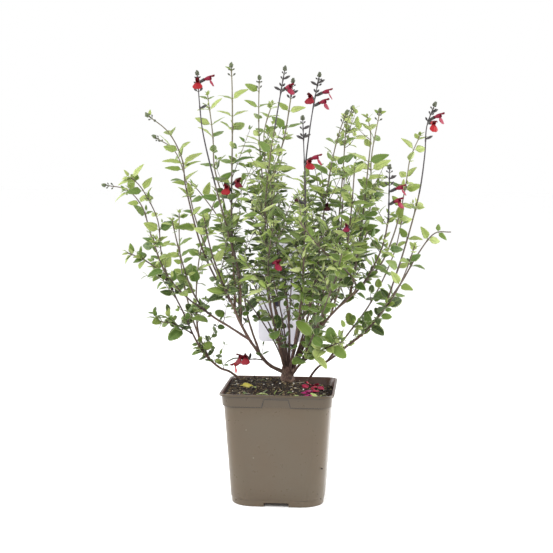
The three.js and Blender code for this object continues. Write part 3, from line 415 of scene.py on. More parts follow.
def walk(stem, first=0, last=None):  # the smooth line between two of a stem's points, or all of them
    route = np.array(stem["route"], float)
    last = len(route) - 1 if last is None else last
    padded = np.vstack([2 * route[0] - route[1], route, 2 * route[-1] - route[-2]])
    samples = []
    for i in range(first * stepsPerSpan, last * stepsPerSpan + 1):
        span, t = divmod(i, stepsPerSpan)
        t /= stepsPerSpan
        if span == len(route) - 1:
            span, t = span - 1, 1.0
        a, b, c, d = padded[span:span + 4]
        leaving, arriving = (c - a) / 2, (d - b) / 2
        curve = 2 * b - 2 * c + leaving + arriving
        samples.append(b + t * (leaving + t * (-3 * b + 3 * c - 2 * leaving - arriving + t * curve)))
    points = np.array(samples)
    lengths = np.concatenate([[0], np.cumsum(np.linalg.norm(np.diff(points, axis=0), axis=1))])
    return {"points": points, "lengths": lengths, "total": lengths[-1]}  # lengths are up to each sample


def pointAt(path, distance):
    wanted = min(max(distance, 0), path["total"])
    i = min(max(int(np.searchsorted(path["lengths"], wanted)), 1), len(path["points"]) - 1)
    before, after = path["points"][i - 1], path["points"][i]
    share = (wanted - path["lengths"][i - 1]) / (path["lengths"][i] - path["lengths"][i - 1])
    return before + (after - before) * share, unit(after - before)


def evenly(path, start, end, step):  # close points along a path, their directions and distances
    distances = np.linspace(start, end, max(int((end - start) / step), 2) + 1)
    points = np.stack([np.interp(distances, path["lengths"], path["points"][:, k]) for k in range(3)], 1)
    return points, directionsOf(points), distances


def stemRadius(stem, position):
    share = position / (len(stem["route"]) - 1)
    tip = growth["green tip radius"] if "node" in stem else stem["radius"] * 0.85
    return stem["radius"] + (tip - stem["radius"]) * share ** 0.7


def guideOf(stem):  # a level direction square to the plane that a stem bends in
    (x, y, _), (tipX, tipY, _) = stem["route"][0], stem["route"][-1]
    return unit(np.array([y - tipY, tipX - x, 0.0]))


def stemFrame(stem, direction):
    outer = unit(np.cross(direction, guideOf(stem)))
    return np.cross(outer, direction), outer


def stemParts(stem):
    last = len(stem["route"]) - 1
    woodEnd = max(stem["wood"] - 1, 0) if "node" in stem else last
    return woodEnd, last - stem.get("dark", 0), last


def greenPath(stem):
    woodEnd, greenEnd, _ = stemParts(stem)
    return walk(stem, woodEnd, greenEnd)


def nextPair(stem, share):  # how far on the next pair of leaves stands
    return stem.get("leafSpacing", growth["pair spacing"]) * (1.1 - 0.35 * share)


def pairsOn(stem, start, spare):  # each pair of leaves: number, share of the way, place and what is left
    path = greenPath(stem)
    distance, pair = start, 0
    while distance < path["total"] - spare and not stem.get("leafless"):
        share = distance / path["total"]
        yield pair, share, pointAt(path, distance), path["total"] - distance
        distance += nextPair(stem, share)
        pair += 1


def shortName(stem):
    return stem["node"].replace("shoot_", "")


def towards(compass, rise):
    angle = math.radians(compass)
    return unit(np.array([math.cos(angle), math.sin(angle), rise]))


# ---- keeping neighbours clear of each other ----
class Room:  # the points that leaves of another stem keep away from
    def __init__(self):
        most = 60000  # points
        self.points, self.reach = np.zeros((most, 3)), np.zeros(most)
        self.owners, self.codes, self.count = np.zeros(most, int), {}, 0

    def code(self, owner):
        return self.codes.setdefault(owner, len(self.codes))

    def take(self, point, reach, owner):
        self.points[self.count] = point
        self.reach[self.count] = reach
        self.owners[self.count] = self.code(owner)
        self.count += 1

    def isClear(self, points, reach, owner):
        points = np.asarray(points)
        nearPot = np.abs(points[:, :2]).max(1) < growth["pot half"] + 15
        if (nearPot & (points[:, 2] < pot["height"] + 10)).any():
            return False
        others = self.owners[:self.count] != self.code(owner)
        taken, allowed = self.points[:self.count][others], self.reach[:self.count][others] + reach
        apart = np.linalg.norm(points[:, None] - taken[None], axis=2)
        return not (apart < allowed).any()


room = Room()


def takeRoom():
    x, y, z = label["place"]
    lean = math.tan(math.radians(90 - label["lean"]))
    for across in range(-label["width"] // 2, label["width"] // 2 + 1, 12):
        for up in range(0, label["height"] + 1, 12):
            room.take((x + across, y + up * lean, z + up), 6, "label")
    for stem in stems:
        whole = walk(stem)
        for step in range(int(whole["total"] // 4) + 1):
            owner = stem.get("node") or stem["limb"]
            room.take(pointAt(whole, step * 4)[0], stem["radius"] + 0.6, owner)
    calyx, petals = growth["calyx length"], growth["flower tube"]
    for bloom in blooms:
        room.take(bloom["root"] + bloom["calyxWay"] * calyx * 0.7, 4, bloom["node"])
        if bloom["open"]:
            room.take(bloom["start"] + bloom["flowerWay"] * petals * 0.5, 4, "flowers")
            room.take(bloom["start"] + bloom["flowerWay"] * (petals + 4), 9, "flowers")
    for stem in stems:
        if stem["tip"] in ("buds", "raceme"):
            room.take(np.array(stem["route"][-1], float), 5, stem["node"])


def findBlooms():
    found = []
    for stem in stems:
        if "blooms" not in stem:
            continue
        woodEnd, greenEnd, last = stemParts(stem)
        path = walk(stem, greenEnd if "dark" in stem else woodEnd, last)
        for distance, compass, isOpen in stem["blooms"]:
            root, _ = pointAt(path, distance)
            calyxWay = towards(compass, 0.5)
            isAside = abs(calyxWay[0]) > 0.55  # those turned away from the light are more purple
            found.append({
                "tint": 0.97 if isAside else 0.42 + 0.34 * chance(distance),
                "root": root, "calyxWay": calyxWay, "flowerWay": towards(compass, 0.25), "open": isOpen,
                "start": root + calyxWay * (growth["calyx length"] + 1.4), "seed": distance + compass,
                "node": "raceme_" + shortName(stem) if "dark" in stem else stem["node"],
            })
    return found


# ---- leaf blades ----
# A blade is a grid of points, each with its share of the length, of the width and its side: 1 is the upper
# skin, -1 the lower and 0 the margin where both meet.
def bladeGrid(shares, widths, columns, tip=1.0):
    spread = np.linspace(-1, 1, columns)
    rows, top, below = [(0.0, 0.0, 0.0, 0)], [], []
    for share, width in zip(shares, widths):
        upper, lower = [], []
        for i, across in enumerate(spread):
            for skin, line in ((1, upper), (-1, lower)):
                isMargin = i in (0, columns - 1)
                if isMargin and skin == -1:
                    line.append(upper[i])
                    continue
                line.append(len(rows))
                rows.append((share, across, width, 0 if isMargin else skin))
        top.append(upper)
        below.append(lower)
    end = len(rows)
    rows.append((tip, 0.0, 0.0, 0))
    quads, triangles = [], []
    for line, flip in ((top, 1), (below, -1)):
        for near, far in zip(line, line[1:]):
            for i in range(columns - 1):
                quads.append([near[i], far[i], far[i + 1], near[i + 1]][::flip])
        for i in range(columns - 1):
            triangles.append([0, line[0][i], line[0][i + 1]][::flip])
            triangles.append([line[-1][i], end, line[-1][i + 1]][::flip])
    along, across, width, skin = np.array(rows).T
    return {"along": along, "across": across, "width": width, "skin": skin,
            "quads": np.array(quads), "triangles": np.array(triangles)}


outline = {  # of a sage leaf: a short stalk, a rounded foot and a blunt tip; the low ones are nearly round
    "at": [0, 0.13, 0.155, 0.19, 0.24, 0.31, 0.38, 0.5, 0.62, 0.74, 0.85, 0.93, 0.975, 1],
    "width": [0.075, 0.07, 0.2, 0.52, 0.8, 0.96, 1, 0.96, 0.85, 0.68, 0.47, 0.28, 0.14, 0],
    "round": [0.075, 0.07, 0.25, 0.5, 0.72, 0.88, 0.96, 1, 0.98, 0.88, 0.7, 0.48, 0.28, 0],
    "stalk": 0.14,  # share of the length
    "teeth": 0.045,  # depth of the scalloped edge, as a share of the half width
}


def leafGrid(rows, columns, teeth=False, form="width"):
    shares = np.concatenate([[0.05, 0.125], np.linspace(0.17, 0.972, rows)])
    widths = np.interp(shares, outline["at"], outline[form])
    if teeth:
        widths[2:] *= 1 + outline["teeth"] * np.where(np.arange(rows) % 2, 1, -1)
    return bladeGrid(shares, widths, columns)


largeLeaf = leafGrid(19, 7, teeth=True)
roundLeaf = leafGrid(13, 7, teeth=True, form="round")
smallGrids = {"round": leafGrid(7, 5, form="round"), "tiny": leafGrid(4, 3), "slim": leafGrid(5, 3),
              "small": leafGrid(7, 5)}

blade = {"thickness": 0.5, "stalk thickness": 1.1, "midrib": 0.5, "quilting": 0.28}


def growBlades(heap, grid, leaves):  # all leaves of one grid at once
    if not leaves:
        return
    get = lambda key: np.array([leaf[key] for leaf in leaves], float)
    column = lambda key: get(key)[:, None]
    along, across, skin = grid["along"][None], grid["across"][None], grid["skin"][None]
    length, fold, arch = column("length"), column("fold"), column("arch")
    scale = np.minimum(length / 24, 1)
    x = along * length
    y = across * grid["width"][None] * column("width") / 2
    isStalk = along < outline["stalk"]
    thick = np.where(isStalk, blade["stalk thickness"] * np.sqrt(scale), blade["thickness"] * scale ** 0.5)
    z = skin * thick / 2 * np.where(isStalk, 1, 1 - 0.45 * across ** 2)
    nearRib = np.exp(-(across / 0.16) ** 2) * (1 - along) * ~isStalk
    z = z - blade["midrib"] * scale * nearRib * np.where(skin < 0, 1, 0.35)
    ripple = np.cos(tau * (6.5 * along - 1.2 * np.abs(across)))
    z = z + blade["quilting"] * scale * ripple * np.abs(across) * (1 - across ** 2 * 0.4) * ~isStalk
    z = z + fold * np.abs(y) - arch * length * along ** 2
    z = z + column("curl") * y * along + 0.05 * np.abs(y) * np.sin(tau * 2.6 * along + column("curl") * 40)
    forward, normal = get("forward")[:, None], get("normal")[:, None]
    side = np.cross(normal, forward)
    points = get("origin")[:, None] + forward * x[..., None] + side * y[..., None] + normal * z[..., None]
    count, size = len(leaves), len(grid["along"])
    shift = (np.arange(count) * size)[:, None, None]
    spread = lambda values: np.repeat(np.array(values, float), size)
    heap.add(
        points.reshape(-1, 3),
        (grid["quads"][None] + shift).reshape(-1, 4), (grid["triangles"][None] + shift).reshape(-1, 3),
        age=spread([leaf["age"] for leaf in leaves]), tint=spread([leaf["tint"] for leaf in leaves]),
        along=np.tile(grid["along"], count), across=np.tile(grid["across"], count),
        skin=np.tile(grid["skin"], count), lush=spread([leaf["lush"] for leaf in leaves]),
    )


def facing(forward, roll=0.0, light=(0, 0, 1)):  # a direction square to `forward` that looks at the light
    way = unit(np.array(light, float))
    return turnedAbout(unit(way - forward * np.dot(way, forward)), forward, roll)


def leafOf(origin, forward, normal, length, age, seed, width=None, lush=0.0):
    isRound = origin[2] < zone["fresh foot"] + 60 * chance(seed + 0.9) and length > growth["tiny leaf"]
    if isRound:
        width = max(width or 0, length * (0.55 + 0.16 * chance(seed + 0.1)))
    return {
        "lush": lush, "round": isRound, "origin": origin, "forward": forward, "normal": normal,
        "length": length, "width": width or length * (0.5 + 0.14 * chance(seed + 0.1)),
        "fold": 0.05 + 0.35 * chance(seed + 0.2) ** 1.5, "arch": 0.08 + 0.3 * chance(seed + 0.3),
        "curl": (chance(seed + 0.4) - 0.5) * 0.5, "age": age, "tint": chance(seed + 0.6),
    }


# ---- leaves and side twigs on a stem ----
leafProbes = [(0.2, 0), (0.38, 0), (0.7, 0), (1, 0), (0.36, 1), (0.36, -1), (0.68, 0.76), (0.68, -0.76)]


def findRoomFor(stem, at, angle, seed, length, reach, takes=True):
    point, direction = at
    side, outer = stemFrame(stem, direction)
    width = length * growth["leaf width"] / growth["leaf length"]
    for turn in (0, 22, -22, 38, -38):
        way = angle + math.radians(turn + (chance(seed + 0.25) - 0.5) * 24)
        forward = around(side, outer, way) + direction * 0.5
        forward[2] += 0.1
        forward = unit(forward)
        normal = facing(forward, (chance(seed + 0.5) - 0.5) * 1.3, growth["light"])
        sideways = np.cross(normal, forward)
        probes = [point + forward * s * length + sideways * w * width / 2 - normal * length * 0.2 * s * s
                  for s, w in leafProbes]
        if room.isClear(probes, reach, stem["node"]):
            if takes:
                for probe in probes:
                    room.take(probe, reach, "leaves")
            return forward, normal
    return None


def ageAt(point, share):  # 0 is an old dark leaf low down, 1 a fresh one at a tip
    x, _, height = point
    isFreshFoot = x > 15 and height < zone["fresh foot"]  # the new growth beside the trunk
    return min(max(0.34 + max(height - 300, -30) / 620 + 0.42 * (share - 0.4) + 0.26 * isFreshFoot, 0.06), 1)


mainPair = {
    "room": 4, "bracts within": 20, "bare within": 34,  # millimetres below a flower head
    "bract size": 0.4, "sparse size": 0.8, "flank size": 0.88,
}


def mainLeaves(stem, order, leaves, axils):  # in crossed pairs, each on one flat of the stem
    hasHead = stem["tip"] == "buds"
    for pair, share, at, left in pairsOn(stem, growth["first pair at"], 3):
        plump = 0.7 + 0.32 * math.sin(math.pi * (0.1 + 0.8 * share))
        for half in (0, 1):
            seed = order * 100 + pair * 2 + half
            length = growth["leaf length"] * plump * (1 - 0.1 * share) * stem.get("leafScale", 1)
            length *= 0.88 + 0.24 * chance(seed)
            angle = ((pair % 2) + half * 2 + 1) * math.pi / 2 + order * 0.7
            way = findRoomFor(stem, at, angle, seed, length, mainPair["room"])
            if way:
                if hasHead and left < mainPair["bracts within"]:
                    length *= mainPair["bract size"]
                if isThin(at[0]):
                    length *= mainPair["sparse size"]
                elif isOuter(at[0]):
                    length *= mainPair["flank size"]
                slim, lush = slimmer(at[0]), lushness(at[0])
                length *= 1 - 0.2 * lush + 0.5 * (1 - slim)
                width = length * (0.48 + 0.14 * chance(seed + 0.1)) * (1 - 0.4 * bushiness(at[0])) * slim
                leaves.append(leafOf(at[0], *way, length, ageAt(at[0], share), seed, width, 0.8 * lush))
            isBare = hasHead and left < mainPair["bare within"]
            axils.append({"at": at, "angle": angle, "seed": seed, "share": share, "bare": isBare})


box = {"low": np.array(cadBox[0]) / mm, "high": np.array(cadBox[1]) / mm, "spare": 2}


def isInside(points):  # the plant's own box, and above the pot's rim
    points = np.asarray(points)
    inBox = (points > box["low"] + box["spare"]).all() and (points < box["high"] - box["spare"]).all()
    overPot = np.abs(points[:, :2]).max(1) < growth["pot half"] + 6
    return inBox and not (overPot & (points[:, 2] < pot["height"] + 6)).any()


bushy = {  # pairs are the least and the spread
    "twig spacing": 15, "leaf length": (15, 11), "leaf width": (0.21, 0.15), "other width": (0.4, 0.18),
    "slim from": 0.3,  # how crowded
}
thickets = [  # where the small growth is densest: x, z, reach both ways and strength
    (16, 376, 94, 104, 1.0), (-152, 262, 32, 44, 0.3), (-118, 216, 30, 26, 0.6), (146, 458, 22, 38, 0.7),
    (112, 552, 22, 26, 0.4), (120, 300, 20, 20, 0.3),
]
clearings = [  # where light comes through: x, z and reach both ways
    (-130, 312, 18, 18), (-118, 404, 16, 22), (-30, 250, 9, 12), (-8, 290, 15, 10), (28, 256, 13, 13),
    (6, 394, 16, 6), (206, 372, 20, 20), (142, 523, 20, 18), (112, 496, 12, 14), (82, 587, 16, 12),
    (144, 588, 22, 16), (174, 590, 18, 14), (-130, 466, 14, 24), (112, 284, 18, 18), (20, 528, 10, 10),
    (24, 496, 10, 8), (-40, 580, 14, 20), (-136, 250, 16, 12), (112, 470, 8, 10), (-160, 436, 14, 14),
    (-160, 286, 12, 10), (-9, 588, 12, 12), (173, 330, 14, 22), (204, 404, 16, 22),
]


def reachOf(point, spot):  # 1 at the edge of an ellipse, less inside it
    midX, midZ, width, height = spot[:4]
    return ((point[0] - midX) / width) ** 2 + ((point[2] - midZ) / height) ** 2


def bushiness(point):
    return max(spot[4] * math.exp(-reachOf(point, spot) ** 1.6) for spot in thickets)


def isCleared(point):
    return any(reachOf(point, spot) < 1 for spot in clearings)


def lushness(point):
    isCrowd = abs(point[0] - zone["middle"]) < zone["crowd half"] and point[2] > zone["crowd foot"]
    return bushiness(point) if isCrowd else 0


def slimmer(point):  # the leaves get narrower towards the top
    return 1 - 0.24 * min(max((point[2] - 380) / 110, 0), 1)


def crossesLabel(start, end):
    x, y, z = label["place"]
    isBeside = min(abs(start[0] - x), abs(end[0] - x)) < label["width"] / 2 + 4
    isLevel = max(start[2], end[2]) > z - 6 and min(start[2], end[2]) < z + label["height"] + 8
    return isBeside and isLevel and min(start[1], end[1]) < y + 16 and max(start[1], end[1]) > y - 4


def isSlim(point):  # only the crowd in the middle has narrow leaves
    middle, _, reach = thickets[0][:3]
    return abs(point[0] - middle) < reach and bushiness(point) > bushy["slim from"]


def isThin(point):  # the outer growth low on the right stays sparse
    return point[0] > zone["sparse beyond"] and point[2] < zone["sparse below"]


def isOuter(point):  # the flanks below the tips carry smaller leaves
    return abs(point[0] - zone["middle"]) > zone["flank beyond"] and point[2] < zone["flank below"]


twig = {"radius": 0.55, "pair spacing": 13, "crowded spacing": 8, "sides": 5}


def growTwig(branch, root, direction, length, leafLength, age, seed):
    # a thin shoot that bends up, with small leaves in crossed pairs and a tuft at its end
    steps = np.linspace(0, 1, max(int(length / 5), 3) + 1)[:, None]
    sway = np.array([chance(seed + 0.7) - 0.5, chance(seed + 0.8) - 0.5, 0]) * 0.35
    points = root + direction * length * steps + (np.array([0, 0, 0.3]) + sway) * length * steps ** 2
    if not isInside(points) or isCleared(points[-1]) or isCleared(points[len(points) // 2]):
        return
    if crossesLabel(points[0], points[-1]):
        return
    directions = directionsOf(points)
    radii = twig["radius"] * (1.25 - 0.6 * steps[:, 0])
    guide = unit(np.array([-direction[1], direction[0], 0.0]) + 1e-6)
    addTube(branch["stalks"], points, directions, radii, twig["sides"], guide, age=age, tint=chance(seed))
    crowd = bushiness(root)
    least, spread = bushy["leaf width" if isSlim(root) else "other width"]
    spacing = twig["crowded spacing" if crowd > bushy["slim from"] else "pair spacing"]
    pairs = max(int(length / spacing), 1)
    for pair in range(pairs + 1):
        isTuft = pair == pairs
        share = (pair + 0.6) / (pairs + 0.6)
        spot = np.array([np.interp(share, steps[:, 0], points[:, k]) for k in range(3)])
        ahead = directions[min(int(share * (len(directions) - 1)), len(directions) - 1)]
        outer = unit(np.cross(ahead, guide))
        side = np.cross(outer, ahead)
        lush = lushness(spot)
        for half in (0, 1):
            own = seed * 3.7 + pair * 2 + half
            angle = (pair % 2 + half * 2) * math.pi / 2 + (chance(own) - 0.5)
            forward = around(side, outer, angle) * (0.9 - 0.5 * isTuft) + ahead * 0.55
            forward[2] += crowd * (0.35 - 1.2 * chance(own + 0.7))  # most of the crowded ones hang
            forward = unit(forward)
            size = leafLength * (0.7 + 0.6 * chance(own + 0.5)) * (1 - 0.3 * isTuft)
            normal = facing(forward, (chance(own + 0.9) - 0.5) * (1.6 + 3 * crowd), growth["twig light"])
            end = spot + forward * size
            if isInside([end]) and not isCleared(spot + forward * size * 0.6) and not crossesLabel(spot, end):
                leaf = leafOf(spot, forward, normal, size, min(age + 0.12 * share, 1), own,
                              size * (least + spread * chance(own + 0.3)), lush)
                # painted shade: leaves deep inside the crowd get a darker tint
                inner = lush * (1 - min(abs(spot[1] - 10) / 60, 1))
                shade = 0.45 * leaf["tint"] + 0.55 * chance(seed + 0.15) - 0.5 - 0.5 * (inner - 0.15 * crowd)
                leaf["tint"] = min(max(0.5 + 1.5 * shade, 0), 0.97)
                branch["small"].append(leaf)


def axilGrowth(stem, axil, branch):  # the tuft or side shoot above a leaf's stalk
    point, direction = axil["at"]
    seed = axil["seed"] + 0.17
    way = around(*stemFrame(stem, direction), axil["angle"])
    crowd = bushiness(point)
    isHigh = point[2] > zone["clean above"]
    if chance(seed) < 0.45 - 0.45 * crowd + 0.35 * isHigh or isThin(point) or axil["bare"]:
        return
    length = 4 + 8 * chance(seed + 0.2) + 42 * crowd * chance(seed + 0.4) ** 1.2
    forward = unit(way * 0.7 + direction * (0.7 + 0.4 * chance(seed + 0.3)))
    leafLength = 10 + 6 * chance(seed + 0.6) + 4 * crowd
    growTwig(branch, point, forward, length, leafLength, ageAt(point, axil["share"]), seed)


def bushTwigs(stem, order, branch):  # the crowded twigs on the green part, all round the stem
    path = greenPath(stem)
    least, spread = bushy["leaf length"]
    for k in range(int(path["total"] / bushy["twig spacing"])):
        point, direction = pointAt(path, (k + 0.6) * bushy["twig spacing"])
        seed = order * 43 + k * 0.61
        if not stem.get("leafless") and chance(seed) < bushiness(point):
            way = towards(360 * chance(seed + 0.1), 0.3 + 0.7 * chance(seed + 0.5))
            forward = unit(way + direction * 0.4)
            growTwig(branch, point, forward, 12 + 40 * chance(seed + 0.2) ** 1.3,
                     least + spread * chance(seed + 0.3), 0.2 + 0.6 * chance(seed + 0.4), seed)


# side shoots by stem: share of its length, compass, rise, length, leaf length
sideShoots = [
    ("left_tall", [(0.16, 350, 1.6, 60, 18), (0.3, 20, 1.8, 66, 18), (0.42, 340, 1.5, 52, 18),
    (0.55, 10, 2.0, 58, 17), (0.68, 350, 2.2, 50, 16), (0.22, 200, 1.4, 50, 17)]),
    ("centre_mid", [(0.42, 190, 1.2, 52, 19), (0.55, 170, 1.6, 55, 18), (0.7, 20, 2.0, 40, 17)]),
    ("centre_front", [(0.45, 215, 1.5, 48, 18), (0.6, 330, 1.5, 42, 18)]),
    ("centre_upright", [(0.62, 0, 1.6, 46, 18)]), ("centre_back", [(0.6, 10, 1.6, 52, 18),
    (0.75, 0, 1.8, 50, 17)]), ("right_back_tall", [(0.45, 190, 1.5, 60, 18)]),
    ("right_mid", [(0.5, 200, 1.5, 50, 19), (0.65, 180, 1.7, 46, 18)]),
    ("right_twin", [(0.55, 10, 1.4, 46, 19), (0.4, 330, 1.2, 40, 19)]),
    ("front_left", [(0.55, 20, 1.6, 52, 18)]), ("back_left", [(0.45, 350, 1.6, 52, 18)]),
    ("far_left", [(0.52, 195, 1.0, 46, 20), (0.6, 230, 0.9, 38, 20), (0.45, 250, 0.6, 30, 18),
    (0.3, 235, 1.0, 26, 14), (0.36, 200, 0.9, 30, 15), (0.22, 250, 1.2, 24, 14), (0.19, 280, 1.6, 22, 13),
    (0.33, 30, 1.2, 24, 14), (0.4, 230, 0.7, 34, 16)]), ("low_bloom", [(0.3, 300, 1.6, 22, 13)]),
    ("left_low_back", [(0.12, 20, 1.4, 26, 17)]), ("right_short", [(0.86, 10, 1.6, 40, 19),
    (0.93, 200, 1.6, 34, 18)]), ("right_mid", [(0.9, 350, 1.5, 36, 18)]),
    ("right_back_tall", [(0.86, 0, 1.5, 36, 18), (0.93, 180, 1.4, 30, 17)]),
    ("front_low", [(0.2, 330, 1.0, 22, 19), (0.35, 60, 1.6, 26, 19), (0.5, 300, 0.3, 18, 19),
    (0.6, 80, 1.4, 28, 20), (0.75, 350, 0.3, 18, 19), (0.9, 20, 1.2, 24, 20)]),
    ("front_low/2", [(0.12, 350, 1.0, 22, 20), (0.2, 200, 1.4, 22, 18)]),
    ("far_right", [(0.2, 100, 1.6, 22, 17), (0.25, 320, 0.6, 20, 17), (0.3, 160, 1.8, 26, 17),
    (0.36, 340, 0.8, 22, 17)]), ("far_left/4", [(0.5, 170, 0.6, 14, 20), (0.85, 200, 0.4, 12, 21),
    (0.95, 150, 1.2, 12, 19)]), ("left_low_back", [(0.2, 200, 1.2, 24, 16), (0.3, 350, 1.0, 24, 16)]),
    ("left_rear", [(0.15, 20, 1.4, 24, 15)]), ("left_front_low/2", [(0.6, 200, 0.6, 26, 17),
    (0.45, 250, 0.4, 24, 17)]), ("right_fork", [(0.66, 190, 0.8, 34, 20), (0.78, 170, 0.8, 30, 19)]),
    ("right_twin", [(0.52, 10, 0.9, 34, 19)]), ("right_twin/2", [(0.48, 20, 1.0, 30, 19)]),
    ("right_back_tall", [(0.9, 10, 1.0, 28, 18)]), ("centre_mid", [(0.72, 340, 1.4, 40, 18)]),
    ("centre_back", [(0.82, 350, 1.4, 34, 18)]), ("far_left", [(0.27, 200, 0.8, 24, 14),
    (0.32, 190, 0.6, 24, 15)]), ("far_left/4", [(0.4, 250, 0.5, 12, 17), (0.2, 260, 0.2, 14, 15),
    (0.65, 100, 1.0, 14, 17)]), ("left_front_low/2", [(0.5, 190, 0.0, 26, 17)]),
    ("far_left/3", [(0.3, 200, -0.5, 24, 16)]), ("right_back_tall", [(0.9, 0, 0.3, 18, 21),
    (0.85, 10, 0.2, 22, 22)]), ("right_twin", [(0.88, 180, 0.3, 16, 21)]),
    ("far_left", [(0.3, 280, 0.9, 22, 15), (0.24, 200, 1.0, 26, 15)]),
    ("left_low_back", [(0.1, 220, 1.0, 24, 15)]), ("left_rear", [(0.1, 240, 0.8, 24, 15)]),
    ("centre_back", [(0.72, 350, 1.0, 34, 19), (0.9, 10, 1.0, 26, 18)]),
    ("centre_mid", [(0.66, 200, 1.2, 34, 19)]),
]


def shootOf(name):  # "far_left/4" is the fourth stretch of that shoot
    name, _, number = name.partition("/")
    return [s for s in stems if s.get("node") == "shoot_" + name][int(number or 1) - 1]


# faded or half hidden flowers: stem, share of its length, compass, rise, whether petals are left, tint
lateBlooms = [
    ("front_dark", 0.71, 205, 0.4, True, 0.0), ("right_mid", 0.65, 285, 0.3, True, 0.08),
    ("right_mid", 0.69, 205, -0.1, False, 0.0), ("right_front_short", 0.63, 255, 0.2, True, 1.0),
    ("front_dark", 0.12, 240, 0.4, False, 0.0), ("low_bloom", 0.93, 200, -0.35, True, 0.85),
    ("low_bloom", 0.8, 222, 0.35, True, 0.5), ("low_bloom", 0.93, 120, 2.2, False, 0.0),
    ("low_bloom", 0.8, 300, 2.6, False, 0.0), ("far_right", 0.948, 296, 0.0, True, 0.8),
]


# thin canes that fan out from the head of the trunk into the crowd: where each tip is
canes = [(-64, -30, 322), (-40, -42, 334), (-30, 58, 330), (-8, -52, 340), (20, -46, 346), (44, -52, 338),
         (62, 42, 344), (76, -34, 334), (96, 22, 330), (58, -72, 330), (-50, 30, 318), (108, -14, 318)]


def growCanes(grown):
    branch = grown["centreFront"]
    steps = np.linspace(0, 1, 14)[:, None]
    for k, tip in enumerate(canes):
        root = np.array([10 + 0.06 * tip[0], 28 + 0.06 * tip[1], 186])  # on the head of the trunk
        away = np.array(tip) - root
        line = root + away * np.hstack([steps ** 1.2, steps ** 1.2, steps])
        line = line + towards(360 * chance(k), 0) * 5 * np.sin(steps * math.pi)
        directions = directionsOf(line)
        addTube(branch["stalks"], line, directions, np.linspace(1.3, 0.8, 14), 6, np.array([0, 1.0, 0]),
                age=0.1, tint=chance(k + 0.5))
        for j, step in enumerate((8, 11, 13)):
            seed = 600 + k * 7 + j * 1.1
            way = unit(towards(360 * chance(seed), 0.6 * chance(seed + 0.2)) + directions[step] * 0.5)
            growTwig(branch, line[step], way, 8 + 26 * chance(seed + 0.4) * (step > 9),
                     12 + 6 * chance(seed + 0.5), 0.25 + 0.4 * chance(seed + 0.6), seed)


# a spent stalk that curves away from the lowest bloom
spentStalk = {
    "route": [(-54, -8, 209), (-62, -9, 212.5), (-70, -10, 212), (-78, -10, 208), (-84, -10, 203.5)],
    "radii": [0.9, 1.1, 1.2, 1.0, 0.6],
}


def growLateBlooms(grown):
    for k, (name, share, compass, rise, hasPetals, tint) in enumerate(lateBlooms):
        stem = shootOf(name)
        path = walk(stem)
        point, _ = pointAt(path, share * path["total"])
        way = towards(compass, rise)
        branch = grown[branchOf[stem["node"]]]
        bloom = {
            "root": point, "calyxWay": way, "flowerWay": way, "start": point + way * growth["calyx length"],
            "seed": k * 1.7, "open": hasPetals, "tint": tint,
            "scale": 1 if name in ("low_bloom", "far_right") else 0.7,
        }
        addCalyx(branch["tops"], bloom)
        if hasPetals:
            addFlower(branch["flowers"], bloom)
    spent = np.array(spentStalk["route"], float)
    addTube(grown["centreFront"]["tops"], spent, directionsOf(spent), spentStalk["radii"], 8,
            np.array([0, 1.0, 0]), tint=0.6, dark=0.75, age=0.0)


def growSideShoots(grown):
    shoots = [(name, *each) for name, group in sideShoots for each in group]
    for k, (name, share, compass, rise, length, leafLength) in enumerate(shoots):
        stem = shootOf(name)
        path = walk(stem)
        point, direction = pointAt(path, share * path["total"])
        forward = unit(towards(compass, rise) + direction * 0.3)
        branch = grown[branchOf[stem["node"]]]
        growTwig(branch, point, forward, length, leafLength, ageAt(point, 0.5), 900 + k * 1.3)


barkTwig = {
    "first at": 14, "spacing": 12, "bare below": 216, "left": {"beyond": -90, "bare below": 190},
    "length": (12, 48),  # least and spread
}


def woodTwigs(stem, order, branch):  # side shoots on the bark, above the bare feet
    woodEnd, _, _ = stemParts(stem)
    if woodEnd == 0 or "node" not in stem:
        return
    path = walk(stem, 0, woodEnd)
    distance = barkTwig["first at"]
    left = barkTwig["left"]
    while distance < path["total"]:
        point, direction = pointAt(path, distance)
        seed = order * 31 + distance * 0.37
        crowd = bushiness(point)
        isLow = point[2] < (left if point[0] < left["beyond"] else barkTwig)["bare below"]
        if not isLow and chance(seed) < 0.25 + 0.75 * crowd and not isThin(point):
            forward = unit(towards(360 * chance(seed + 0.1), 0.5) + direction * 0.6)
            least, spread = barkTwig["length"]
            length = least + spread * chance(seed + 0.2) * (0.4 + crowd)
            leafLength = 9 + 7 * chance(seed + 0.3) + 3 * crowd
            growTwig(branch, point, forward, length, leafLength, ageAt(point, 0.1), seed)
        distance += barkTwig["spacing"]


smallPair = {
    "behind the main pair": 26, "length": 16, "length high up": 22, "high above": 430, "length spread": 7,
    "bare at the tip": 8, "bare below buds": 36, "flank size": 0.85, "room": 1.6,
}


def extraPairs(stem, order, leaves):  # smaller leaves between the main pairs
    start = growth["first pair at"] + smallPair["behind the main pair"]
    bare = smallPair["bare below buds" if stem["tip"] == "buds" else "bare at the tip"]
    for pair, share, at, _ in pairsOn(stem, start, bare):
        for half in (0, 1):
            seed = order * 57 + pair * 2 + half + 0.5
            least = smallPair["length high up" if at[0][2] > smallPair["high above"] else "length"]
            length = least + smallPair["length spread"] * chance(seed)
            angle = (pair % 2 + half * 2) * math.pi / 2 + order * 0.7 + 0.5
            way = findRoomFor(stem, at, angle, seed, length, smallPair["room"], takes=False)
            if isOuter(at[0]):
                length *= smallPair["flank size"]
            if way and not isThin(at[0]) and not isCleared(at[0] + way[0] * length * 0.6):
                width = length * (0.5 + 0.14 * chance(seed + 0.1)) * slimmer(at[0])
                leaves.append(leafOf(at[0], *way, length, ageAt(at[0], share), seed, width, lushness(at[0])))


